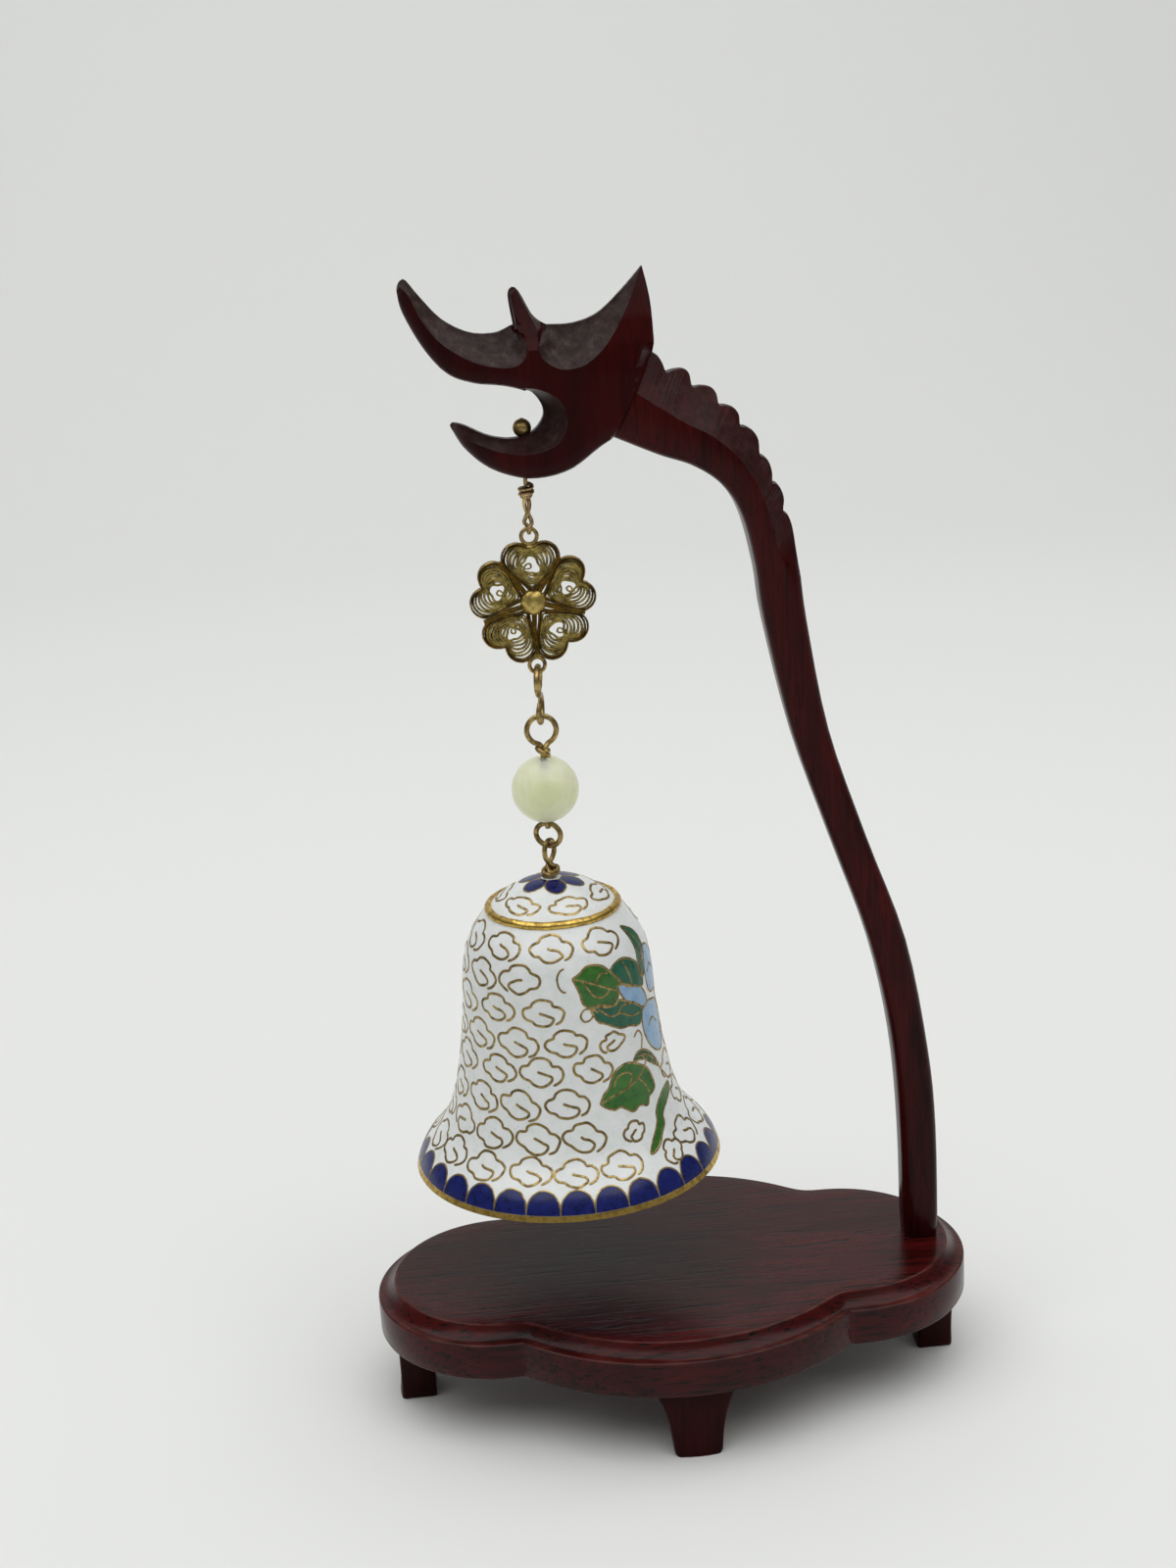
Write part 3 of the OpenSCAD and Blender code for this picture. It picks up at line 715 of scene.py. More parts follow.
def neck_post():
    """Post and neck as sections swept from the head to the base, with dust and a painted sheen on
    the crest.
    """
    rows = []
    hollow = []
    for inner, ridge, outer in neck_stations():
        height = ridge[1]
        slim = 1 - 0.07 * smooth((25.5 - height) / 4)
        ux, uz = ridge[0] - inner[0], ridge[1] - inner[1]
        size = math.hypot(ux, uz)
        ux, uz = ux / size, uz / size
        half = neck_section(inner, ridge, outer, height)
        row = []
        for side, line in ((-1, half), (1, half[-2:0:-1])):
            for w, y in line:
                w = size / 2 + (w - size / 2) * slim
                row.append((inner[0] + ux * w, side * y * slim, inner[1] + uz * w))
        rows.append(row)
        # The crest's bevel is coloured as dust and a painted sheen, its ridge more strongly.
        dust_and_sheen = 0.34 * smooth((height - 144) / 6)
        for k in range(len(row)):
            step = min(k, len(row) - 1 - k)
            on_ridge = step >= len(half) - 2
            hollow.append(0.0 if step < EDGE_AT else 2.4 * dust_and_sheen if on_ridge else dust_and_sheen)
    start = [(x - 0.5, y * 0.93, z + 0.3) for x, y, z in rows[0]]
    shape = Shape()
    shape.grid([start] + rows, around=True)
    for row in (start, rows[-1]):
        shape.fan(row, tuple(sum(p[m] for p in row) / len(row) for m in range(3)))
    hollow += [0.0] * (len(shape.faces) - len(hollow))
    edge = [(row[EDGE_AT][0], row[EDGE_AT][2]) for row in rows]
    shape.piece("neck_and_post", WOOD_UPRIGHT, "stand", "lacquered_wood", ["neck_post"], sharp=32,
                hollow=hollow, crisp=[[(x, z) for x, z in edge if z > CREST_FOOT]])


neck_post()


# ---------------------------------------------------------------- dragon head

# The outline in its side view as (x, z), from the snout's tip round by the jaw and the ear.
SNOUT_UNDER = [(-34.55, 190.4), (-34.6, 189.6), (-34, 186.5), (-31.3, 181.2), (-28, 177.3),
               (-24, 175.6), (-19, 174.8), (-15, 173.2), (-13.3, 170), (-15, 167.2),
               (-18.3, 166.2), (-22, 166.8), (-25.8, 168.7), (-27.6, 169.25)]
JAW_UNDER = [(-28.0, 168.85), (-27.7, 168.1), (-25.9, 165.1), (-21.9, 161.9), (-16, 160.2),
             (-10.1, 161.1), (-5.1, 164.3), (-2.8, 165.6)]
EAR_BACK = [(4.1, 178), (4, 186), (3.2, 191.3)]
SADDLE = [(3.2, 191.3), (0, 188), (-4, 184.6), (-8, 183.3), (-12, 183.3)]
HORN = [(-12, 183.3), (-14, 184.8), (-16, 188.7), (-17.1, 189.3), (-17.7, 188), (-17.2, 183.7)]
SNOUT_TOP = [(-17.2, 183.7), (-20, 182.6), (-24, 182.9), (-28, 185.1), (-31, 188.5), (-33, 191.2),
             (-33.55, 191.55), (-34.2, 191.15), (-34.55, 190.4)]

# Crisp edges on the side of the head, where a hollow starts.
SNOUT_EDGE = [(-34.3, 190.6), (-33.0, 189.3), (-31.4, 185.8), (-28.9, 182.3), (-25.4, 179.7),
              (-22.2, 178.3), (-19.1, 177.7), (-17, 178.0), (-15.7, 179.2), (-15.5, 180.6)]
SADDLE_EDGE = [(-13.7, 180.6), (-13.6, 179.4), (-12.6, 178.1), (-10.3, 176.9), (-7.2, 177.2),
               (-4.6, 178.8), (-2.2, 181.5), (0.6, 186), (2.9, 191.0)]
MOUTH_EDGE = [(-28.0, 169.0), (-26.5, 167.6), (-24.2, 166.2), (-21.3, 165.0), (-17.5, 164.2),
              (-14.2, 164.4), (-11.5, 165.6), (-10.1, 168.0), (-10.2, 170.6), (-11.5, 172.7),
              (-14.2, 174.1), (-17.2, 174.5)]
HORN_LEFT = [(-15.4, 180.6), (-16.5, 182.9), (-17.05, 185.6), (-17.3, 188.3)]
HORN_RIGHT = [(-13.9, 180.6), (-13.6, 182.6), (-14.6, 185.0), (-16.4, 189.0)]
HORN_SIDES = HORN_LEFT + HORN_RIGHT[::-1]
# Heights where the horn leaves the face and where it stands free, and of the open mouth.
HORN_FOOT, HORN_FREE, MOUTH_Z = 180.6, 182.4, 171.5
# The glued joint between the head and the neck.
JOINT = [JAW_UNDER[-1], EAR_BACK[0]]
# Half thickness of the cheek, then of the snout and the jaw by x, and of the ear by z.
SIDE = 5.35
SNOUT_SIDE = [(-34.6, 1.1), (-33.5, 1.7), (-31, 3.2), (-28, 4.4), (-24, 5.1), (-19, SIDE)]
JAW_SIDE = [(-28.3, 1.1), (-27, 2.0), (-24.5, 3.6), (-21, 4.8), (-17, SIDE)]
EAR_SIDE = [(176, SIDE), (180, 4.85), (184, 3.75), (188, 2.15), (191.3, 0.75)]
# Half thickness of the neck where it meets the head, by distance along the joint from the jaw.
NECK_SIDE = [(0, 2.8), (0.6, 4.0), (2.1, 4.8), (7.8, 4.85), (9.5, 3.9), (11.5, 2.6),
             (13.2, 1.4), (14.2, 0.9)]


def face_half(x, z):
    """Half thickness of the head's side faces: full at the cheek, thin at the tips."""
    if x > -6:
        return table(EAR_SIDE, z)
    return table(SNOUT_SIDE if z > MOUTH_Z else JAW_SIDE, x)


def horn_half(x, z):
    """Half thickness of the horn, which stands up from the side face and thins to its tip."""
    half = SIDE - 0.3 - 4.1 * clamp((z - HORN_FOOT) / 8.4) ** 0.85
    if not inside(HORN_SIDES, (x, z)):
        half -= min(7 * distance_to(HORN_LEFT, (x, z)), 2.6 * distance_to(HORN_RIGHT, (x, z)))
    return half


def head_half(p, zones, seams):
    """Half thickness of the head at a point of its side view.

    A zone is a carved hollow between a crisp edge on the face and a thin ridge. A seam is a
    line along which the face is rounded off by cut, within a radius of it.
    """
    x, z = p
    half = face_half(x, z)
    on_horn = z > 180.4 and -19.5 < x < -10.5
    scooped = False
    for zone, ridge, edge, ridge_half, bend in zones:
        d_edge, d_ridge = distance_to(edge, p), distance_to(ridge, p)
        if inside(zone, p) or min(d_edge, d_ridge) < 0.05:
            t = d_ridge / max(d_ridge + d_edge, 1e-6)
            low = min(ridge_half, half)
            half = low + (half - low) * t ** bend
            scooped = True
            break
    if on_horn:
        half = max(half, horn_half(x, z)) if scooped else min(half, horn_half(x, z))
    for line, radius, cut in seams:
        d = distance_to(line, p)
        if d < radius:
            half -= cut * (1 - math.sqrt(max(1 - (1 - d / radius) ** 2, 0.0)))
    # A chamfer runs down to the neck's own side along the joint.
    d = distance_to(JOINT, p)
    if d < 3:
        half = min(half, table(NECK_SIDE, math.dist(JOINT[0], p)) + 0.12 + 1.7 * d)
    return max(half, 0.3)


def head_outline():
    """Side view of the whole head, with even points along each stretch."""
    outline = []
    for stretch in (SNOUT_UNDER, JAW_UNDER, EAR_BACK, SADDLE, HORN, SNOUT_TOP):
        line = curve(stretch, 7)
        line = along(line, max(4, round(lengths(line)[-1] / 0.55)))
        outline.extend(line[1:] if outline and math.dist(outline[-1], line[0]) < 0.02 else line)
        if stretch is JAW_UNDER:
            outline.extend(along(JOINT, 24)[1:-1])
    return outline


def loose_points(outline, edges):
    """Points between the lines of the head: two rows inside the outline, then a grid."""
    out = []
    for depth in (0.28, 0.75):
        for k, (x, z) in enumerate(outline):
            (x0, z0), (x1, z1) = outline[k - 1], outline[(k + 1) % len(outline)]
            size = math.hypot(x1 - x0, z1 - z0)
            for turn in (1, -1):
                p = (x - turn * (z1 - z0) / size * depth, z + turn * (x1 - x0) / size * depth)
                if (inside(outline, p) and min(distance_to(line, p) for line in edges) > 0.22
                        and distance_to_ring(outline, p) > 0.9 * depth):
                    out.append(p)
    spacing = 0.62
    for i in range(int(40 / spacing)):
        for j in range(int(34 / spacing)):
            p = (-35 + i * spacing + (j % 2) * spacing / 2, 159 + j * spacing)
            if (inside(outline, p) and distance_to_ring(outline, p) > 1.1
                    and min(distance_to(line, p) for line in edges) > 0.28):
                out.append(p)
    return out


def dragon_head():
    """Both sides of the head from its side view, each point moved out by its half thickness."""
    outline = head_outline()
    edges = [along(curve(line, 7), round(lengths(line)[-1] / 0.5))
             for line in (SNOUT_EDGE, SADDLE_EDGE, MOUTH_EDGE, HORN_LEFT, HORN_RIGHT)]
    crisp = edges[:]
    snout_edge, saddle_edge, mouth_edge = edges[:3]
    edges += [[(x - inset * 0.87, z + inset * 0.49) for x, z in along(JOINT, 24)[2:-2]]
              for inset in (0.3, 0.75, 1.3)]
    under = curve(SNOUT_UNDER, 5)
    snout_ridge, saddle_ridge, mouth_ridge = curve(SNOUT_TOP, 5), curve(SADDLE, 5), under[35:]
    # (area, ridge, edge, half thickness at the ridge, how the hollow bends)
    zones = [
        (snout_edge + snout_ridge, snout_ridge, snout_edge, 0.6, 1.45),
        (saddle_edge + saddle_ridge, saddle_ridge, saddle_edge, 0.6, 1.5),
        (mouth_edge + mouth_ridge, mouth_ridge, mouth_edge, 0.85, 1.25)]
    # (line, radius, cut)
    seams = [(under[5:36], 1.5, 1.1), (curve(JAW_UNDER, 5), 2.0, 1.7),
             (curve(EAR_BACK, 4), 0.7, 0.5)]

    points, links = [], []
    for line in [outline] + edges:
        first = len(points)
        points.extend(line)
        links.extend((i, i + 1) for i in range(first, len(points) - 1))
        if line is outline:
            links.append((len(points) - 1, first))
    flat, keep, rim = fill(outline, points + loose_points(outline, edges), links, 1e-4)
    halves = [head_half((p.x, p.y), zones, seams) for p in flat]
    count = len(flat)
    # The middle line of the rim keeps the outline; on the horn both faces step in from it.
    middle = {a: 2 * count + k for k, (a, _) in enumerate(rim)}
    sides = []
    for i, p in enumerate(flat):
        step_in = i in middle and p.y > 182.8 and distance_to(HORN_LEFT, p) < 1.0
        sides.append((p.x + (0.32 if step_in else 0.0), p.y))
    faces = keep + [tuple(count + i for i in reversed(face)) for face in keep]
    for a, b in rim:
        faces.append((b, a, middle[a], middle[b]))
        faces.append((middle[b], middle[a], count + a, count + b))
    shape = Shape()
    shape.add([(x, side * h, z) for side in (-1, 1) for (x, z), h in zip(sides, halves)]
              + [(flat[a].x, 0, flat[a].y) for a, _ in rim], faces)
    # Carved scoops, the mouth band and the horn's rim faces take the colour of dust and a painted
    # sheen.
    hollow = []
    for k, face in enumerate(faces):
        x, _, z = (sum(shape.points[i][m] for i in face) / len(face) for m in range(3))
        p = (x, z)
        horn = inside(HORN_SIDES, p) or (
            z > HORN_FREE and min(distance_to(HORN_LEFT, p), 2 * distance_to(HORN_RIGHT, p)) < 0.9)
        if k >= 2 * len(keep) and z > HORN_FREE and -19 < x < -10.5:
            hollow.append(1.0)
        elif not horn and any(inside(zone, p) for zone, *_ in zones[:2]):
            hollow.append(0.9)
        else:
            hollow.append(0.6 if inside(zones[2][0], p) else 0.0)
    shape.piece("dragon_head_carved", WOOD_CARVED, "stand", "lacquered_wood", ["dragon_head"],
                sharp=26, hollow=hollow, crisp=crisp)


dragon_head()


# ---------------------------------------------------------------- chain

# The chain hangs on the line x = CHAIN_X, y = 0. A joint's axis lies where two wires touch, so
# the middle of each loop is set off from it by the loop's radius and about half a wire.
CHAIN_X = -16.8
# How far the loops round the bell's joint are turned about the chain's line, in degrees.
LOOP_TURN = -35


def hung(points, turn=0.0):
    """Points given as (along, across, z), turned about the chain's line."""
    a = math.radians(turn)
    return [(CHAIN_X + u * math.cos(a) - v * math.sin(a), u * math.sin(a) + v * math.cos(a), z)
            for u, v, z in points]


def arc(centre_z, radius, start, end, n):
    """Arc of a standing loop as (along, 0, z). Angles in degrees from the 'along' direction."""
    return [(radius * math.cos(math.radians(start + (end - start) * k / n)), 0,
             centre_z + radius * math.sin(math.radians(start + (end - start) * k / n)))
            for k in range(n + 1)]


def coil(z_start, z_end, radius, turns, first=0.0, lean=0.0, n=18):
    """Turns of wire round the chain's line. lean tilts the turns."""
    out = []
    total = int(turns * n)
    for k in range(total + 1):
        a = math.radians(first) + 2 * math.pi * k / n
        z = z_start + (z_end - z_start) * k / total + lean * math.cos(a)
        out.append((radius * math.cos(a), radius * math.sin(a), z))
    return out


def revolved(shape, profile, n=192):
    """Closed ring turned about the chain's line from (radius, z) points."""
    shape.grid([[(CHAIN_X + r * math.cos(a), r * math.sin(a), z) for a in round_angles(n)]
                for r, z in profile], around=True, loop=True)


def stop_bead():
    """Brass ball on the jaw, with the end of the wire just showing at its top."""
    low, high = node_box("stop_bead")
    centre = (low + high) / 2
    shape = Shape()
    shape.ball(centre, (high.z - low.z) / 2, 28, 18)
    shape.tube([(CHAIN_X, 0, high.z - 0.35), (CHAIN_X, 0, high.z + 0.02)], 0.3, 10)
    shape.piece("stop_bead_ball", BRASS, "stand", "aged_brass", ["stop_bead"])


def hook_wire():
    """Wire from the stop bead through the jaw to a bend. Its legs twist once below a wrap."""
    bend_r, leg_tall, turn = 1, 4.9, 96
    bottom = joint_height("flower_swing") + bend_r
    bend = arc(bottom, bend_r, 180, 360, 12)

    def leg(side):
        out = []
        for k in range(1, 11):
            rise = leg_tall * k / 10
            apart = table([(0, 1.0), (0.6, 0.68), (1.3, 0.42), (leg_tall, 0.36)], rise)
            a = math.radians(table([(0, 0), (2.3, 180), (leg_tall, 330)], rise))
            out.append((side * apart * math.cos(a), side * apart * math.sin(a), bottom + rise))
        return out

    down = [(0, 0, 165.2), (0, 0, 161), (0, 0, 158.6)] + leg(-1)[::-1]
    wrap = coil(157.0, 158.6, 0.98, 2.0, 345, 0.12, 14)
    path = curve(down + bend[:1], 4)[:-1] + bend + curve([bend[-1]] + leg(1) + wrap, 3)[1:]
    shape = Shape()
    shape.tube(hung(path, turn), 0.34, 12)
    shape.tube(hung(coil(156.75, 157.3, 0.62, 1.4, 20, 0.1, 12), turn), 0.4, 10)
    shape.piece("hook_wire_bent", TANNED, "hook", "aged_brass", ["hook_wire"])


def s_link():
    """Two loops bent in opposite directions out of one wire, the lower one slightly open."""
    top, bottom = joint_height("link_swing") + 0.85, joint_height("bead_swing")
    r = (top - bottom) / 4
    mid = (top + bottom) / 2
    upper = [(u, 0.28 * math.cos(math.radians(a)), z) for a, (u, _, z) in
             zip(range(-60, 271, 15), arc(mid + r, r, -60, 270, 22))]
    lower = [(u, 0.3 * math.cos(math.radians(a)), z) for a, (u, _, z) in
             zip(range(90, -221, -10), arc(mid - r, r, 90, -220, 31))]
    path = upper + lower[1:]
    size = [0.5] * len(path)
    # Both ends are pinched thin.
    for k in range(5):
        size[k] = 0.24 + 0.055 * k
        size[-1 - k] = 0.12 + 0.085 * k
    shape = Shape()
    shape.tube(hung(path, 73), size, 12)
    shape.piece("s_link_bent", BRASS, "link", "aged_brass", ["s_link"])


def bead_wire():
    """Eye, a short wrap, a straight run through the jade bead and a loop below it."""
    r, eye_r, low_r = 0.45, 2.4, 1.95
    eye_z = joint_height("bead_swing") + 0.975 - eye_r
    shaft = [(0, 0, 101.6), (0, 0, 108), (0, 0, 114.4), (-0.1, 0.1, 115.4), (-0.55, 0.1, 116.1)]
    eye = arc(eye_z, eye_r, 236, -64, 40)
    wrap = coil(115.5, 114.3, 0.84, 1.5, 290, -0.42)
    path = curve(shaft, 5)[:-1] + eye + curve([eye[-1], (0.72, -0.4, 116.0)] + wrap[::3], 4)[1:]
    shape = Shape()
    shape.tube(hung(path), r, 12)
    loop = arc(joint_height("bell_swing") + low_r, low_r, 99, 445, 42)
    loop = [(u * 1.14, 0.2 * math.cos(math.radians(99 + 346 * k / 42)), z)
            for k, (u, _, z) in enumerate(loop)]
    shape.tube(hung(loop, LOOP_TURN), r, 12)
    shape.piece("bead_wire_bent", BRASS, "bead_wire", "aged_brass", ["bead_wire"])


def jade_bead():
    """Drilled ball with eased edges at its hole."""
    low, high = node_box("jade_bead")
    centre, r = (low + high) / 2, (high.z - low.z) / 2
    hole, lip = 0.52, 0.85
    half = [(hole, r - 0.35), (0.62, r - 0.12), (lip, math.sqrt(r * r - lip ** 2))]
    half += [(r * math.sin(a), r * math.cos(a))
             for a in (0.16 + (math.pi / 2 - 0.16) * k / 26 for k in range(1, 27))]
    profile = [(hole, 0)] + half + [(x, -z) for x, z in half[-2::-1]]
    shape = Shape()
    revolved(shape, [(x, centre.z + z) for x, z in profile], 72)
    shape.piece("jade_ball", JADE, "jade", "jade", ["jade_bead"], sharp=50)


def bell_wire():
    """Narrow loop whose legs cross, twist once and wind into a flat wrap on the crown."""
    r, bend_r, inner_r = 0.425, 1.5, 1.6
    bend = arc(joint_height("bell_swing") + 0.925 - bend_r, bend_r, 0, 180, 14)
    left = [(-1.36, 0, 96.9), (-0.7, -0.15, 95.9), (0.05, -0.42, 95.15), (0.4, -0.1, 94.6),
            (0.1, 0.3, 94.2), (0.0, 0.1, 93.4), (0, 0, 91.4)]
    right = [(1.36, 0, 96.9), (0.7, 0.15, 95.9), (-0.05, 0.42, 95.15), (-0.42, 0.1, 94.7)]
    wrap = coil(94.5, 93.75, 1.2, 1.9, 190, 0.3)
    path = (curve(left[::-1] + bend[-1:], 6)[:-1] + bend[::-1]
            + curve([bend[0]] + right + wrap[1::3], 5)[1:])
    shape = Shape()
    shape.tube(hung(path, LOOP_TURN + 90), r, 12)
    loop = arc(joint_height("clapper_swing") + inner_r, inner_r, 100, 440, 36)
    shape.tube(hung(loop, LOOP_TURN + 90), r, 12)
    shape.piece("bell_wire_bent", BRASS, "bell_wire", "aged_brass", ["bell_wire"])


stop_bead()
hook_wire()
s_link()
bead_wire()
jade_bead()
bell_wire()


# ---------------------------------------------------------------- filigree flower

PETAL_LOW, PETAL_HIGH = node_box("flower_petals")
FLOWER_Z = (PETAL_LOW.z + PETAL_HIGH.z) / 2 - 0.06
# The directions of the petals and of the ribs between them, in degrees.
PETAL_TURNS = (90, 20, -53, 235, 160)
RIB_TURNS = (126, 57, -16, 198, 270)
# For each petal: the size of its eye, the side where its threads lie close, its swirl's turn.
EYES = (1.45, 1.25, 1.3, 1.15, 1.3)
DENSE_SIDES = (0, 40, -10, -50, -45)
SWIRL_TURNS = (20, 200, -60, 130, 80)
# Half of a petal's outline as (away from the boss, to its side).
HEART = [(1.65, 0), (2.85, 1.25), (4.25, 2.7), (5.55, 3.95), (6.8, 4.62), (8.1, 4.55), (9.2, 3.8),
         (9.72, 2.62), (9.6, 1.45), (9.1, 0.58)]
HEART_CENTRE = 6.0


def on_flower(u, v, turn, y=0.0):
    """Point of a petal: u away from the boss, v to its side."""
    a = math.radians(turn)
    return (CHAIN_X + u * math.cos(a) - v * math.sin(a), y,
            FLOWER_Z + u * math.sin(a) + v * math.cos(a))


def heart(scale_to_frame, eye, wobble=0.0, seed=0.0):
    """Closed heart between the eye (0) and the petal's frame (1). wobble makes it uneven."""
    mirrored = HEART + [(8.65, 0)] + [(u, -v) for u, v in HEART[:0:-1]]
    out = []
    for u, v in closed_curve(mirrored, 5):
        du, dv = u - HEART_CENTRE, v
        far = math.hypot(du, dv)
        angle = math.atan2(dv, du)
        hole = eye * (1 + 0.16 * math.cos(3 * angle + 0.5) + 0.06 * math.sin(2 * angle + seed))
        near = hole + (far - hole) * scale_to_frame
        near += wobble * math.sin(5 * angle + 3 * seed)
        out.append((HEART_CENTRE + near * du / far, near * dv / far))
    return out


def flat_wire(shape, path, half_wide, half_deep, loop, sides=8):
    """Flattened wire whose path lies in the plane of the flower."""
    n = len(path)
    rows = []
    for i, p in enumerate(path):
        a = path[(i - 1) % n] if loop else path[max(i - 1, 0)]
        b = path[(i + 1) % n] if loop else path[min(i + 1, n - 1)]
        ahead = Vector(b) - Vector(a)
        side = Vector((-ahead.z, 0, ahead.x)).normalized()
        rows.append([
            Vector(p) + side * half_wide * math.cos(t) + Vector((0, half_deep * math.sin(t), 0))
            for t in round_angles(sides)])
    shape.grid(rows, around=True, loop=loop)
    if not loop:
        shape.fan(rows[0], path[0], flip=True)
        shape.fan(rows[-1], path[-1])


def petal_threads(threads, index, turn):
    """Seven uneven hearts from a petal's eye out to its frame, and the swirl in the eye."""
    eye, dense = EYES[index], math.radians(DENSE_SIDES[index])
    for k in range(7):
        outline = heart(k / 6 * 0.86, eye, 0.05, index + 0.7 * k)
        outline = along(outline + outline[:1], 78)[:-1]
        path = [on_flower(u, v, turn, 0.12 * math.sin(3 * i / 7 + k))
                for i, (u, v) in enumerate(outline)]
        size = []
        for i, (u, v) in enumerate(outline):
            close = max(math.cos(math.atan2(v, u - HEART_CENTRE) - dense), 0.0) ** 2
            size.append(0.18 + 0.035 * (i % 2) + 0.13 * close * (1 if k > 1 else 0.3))
        threads.tube(path, size, 6, loop=True)
    swirl = []
    for i in range(23):
        t = -1 + 2 * i / 22
        a = math.radians(SWIRL_TURNS[index] + 110 * t)
        reach = math.copysign(0.25 + 0.95 * eye * abs(t) ** 1.4, t)
        swirl.append(on_flower(HEART_CENTRE + reach * math.cos(a) * 0.9,
                               reach * math.sin(a) * 0.9, turn))
    threads.tube(swirl, 0.12, 6, squash=1.4)


def flower():
    """Five petals of bent wire filled with threads, three ribs between each two, and a boss."""
    half_deep = PETAL_HIGH.y
    frames, threads, ribs = Shape(), Shape(), Shape()
    for index, turn in enumerate(PETAL_TURNS):
        for scale, wide, deep in ((0.98, 0.19, 1), (0.885, 0.13, 0.86)):
            path = [on_flower(u, v, turn) for u, v in heart(scale, 0.4)]
            flat_wire(frames, path, wide, half_deep * deep, True)
        petal_threads(threads, index, turn)
        for side in (-0.3, 0.0, 0.3):
            rib = [on_flower(u, side * (1 - 0.05 * u) + 0.1 * math.sin(u), RIB_TURNS[index])
                   for u in (1.2, 3, 5, 6.6, 7.8, 8.5)]
            flat_wire(ribs, curve(rib, 4), 0.165, half_deep * (1.04 if side else 0.98), False)
    # Solder that holds the two rings.
    for z, wide in ((FLOWER_Z + 8.75, 1.1), (FLOWER_Z - 8.65, 0.8)):
        threads.ball((CHAIN_X, 0, z), wide, 16, 10, (1.0, 0.55, 0.62))
    frames.piece("petal_frames", BRASS, "flower", "aged_brass", ["flower_petals"])
    threads.piece("filigree_threads", FILIGREE, "flower", "aged_brass", ["flower_filigree"],
                  sharp=60)
    ribs.piece("flower_ribs", BRIGHT, "flower", "aged_brass")
    boss = Shape()
    boss.ball((0, 0, 0), 2.1, 36, 24, (1, 0.6, 1))
    for i, p in enumerate(boss.points):
        x, _, z = p
        dent = (0.07 * math.sin(3.1 * x + 1) * math.sin(2.7 * z)
                + 0.04 * math.sin(6 * x) * math.sin(5 * z + 2))
        boss.points[i] = Vector((CHAIN_X, 0, FLOWER_Z)) + Vector(p) * (1 + dent * 0.6)
    boss.piece("flower_boss_domed", BRIGHT, "flower", "aged_brass", ["flower_boss"])


flower()


# ---------------------------------------------------------------- bell

# Outside of the bell as (radius, z), the same stations as in the CAD model.
BELL_STATIONS = [(26, 43), (24.5, 46.2), (20.6, 51), (18.5, 56.6), (17, 64.5), (16.2, 71.5),
                 (15.7, 78.2), (14.6, 83), (12.2, 86.8), (9.7, 89.4), (6.4, 91.6), (3.3, 92.8),
                 (0.25, 93.2)]
PROFILE = curve(BELL_STATIONS, 20)
RUN = lengths(PROFILE)
# Points of the profile where the rim band ends and where the shoulder band lies.
RIM_BAND_END, BODY_END = 8, 172
SHOULDER_S = RUN[BODY_END]
# Places on the bell are (theta, s): degrees round it, from a line turned by FACING from the
# front, and millimetres up the profile. MM_PER_DEGREE flattens them where areas are filled.
FACING = -3.1
MM_PER_DEGREE = 0.29
# How far a coloured field's underside lies from the white enamel's surface.
SUNK = -0.1


def on_profile(s, lift=0.0):
    """(radius, z) at a distance up the bell's outer profile, moved out by lift."""
    s = min(max(s, 0.0), RUN[-1] - 1e-6)
    high = bisect_right(RUN, s)
    low = high - 1
    t = (s - RUN[low]) / (RUN[high] - RUN[low])
    (r0, z0), (r1, z1) = PROFILE[low], PROFILE[high]
    (ra, za), (rb, zb) = PROFILE[max(low - 1, 0)], PROFILE[min(high + 1, len(RUN) - 1)]
    nr, nz = zb - za, ra - rb
    size = math.hypot(nr, nz)
    return r0 + (r1 - r0) * t + lift * nr / size, z0 + (z1 - z0) * t + lift * nz / size


def on_bell(theta, s, lift=0.0):
    """Point on the bell: theta in degrees from the side that faces forward, s up the profile."""
    r, z = on_profile(s, lift)
    a = math.radians(theta + FACING)
    return Vector((CHAIN_X + r * math.sin(a), -r * math.cos(a), z))


def placed(points, theta, s, turn=0.0):
    """Flat points in millimetres laid on the bell round (theta, s)."""
    c, d = math.cos(math.radians(turn)), math.sin(math.radians(turn))
    out = []
    for x, y in points:
        x, y = c * x - d * y, d * x + c * y
        r = on_profile(s + y)[0]
        out.append((theta + math.degrees(x / max(r, 2.0)), s + y))
    return out


def round_from(theta, points):
    """Points given as (millimetres round the bell from theta, s) turned into (theta, s)."""
    return [(theta + math.degrees(x / on_profile(s)[0]), s) for x, s in points]


def fine_wire(shape, path, wide, proud=0.05):
    """Flat wire that stands on edge in the enamel, along (theta, s) points."""
    section = ((-1, -1.5), (-1, 0.5), (-0.55, 1), (0.55, 1), (1, 0.5), (1, -1.5))
    base = [on_bell(t, s) for t, s in path]
    rows = []
    n = len(path)
    for i, (t, s) in enumerate(path):
        normal = (on_bell(t, s, 1.0) - base[i]).normalized()
        ahead = base[min(i + 1, n - 1)] - base[max(i - 1, 0)]
        side = normal.cross(ahead).normalized()
        half = wide / 2 * (0.55 if i in (0, n - 1) else 1)
        rows.append([base[i] + side * half * a + normal * proud * b for a, b in section])
    shape.grid(rows, around=True)
    shape.fan(rows[0], base[0], flip=True)
    shape.fan(rows[-1], base[-1])


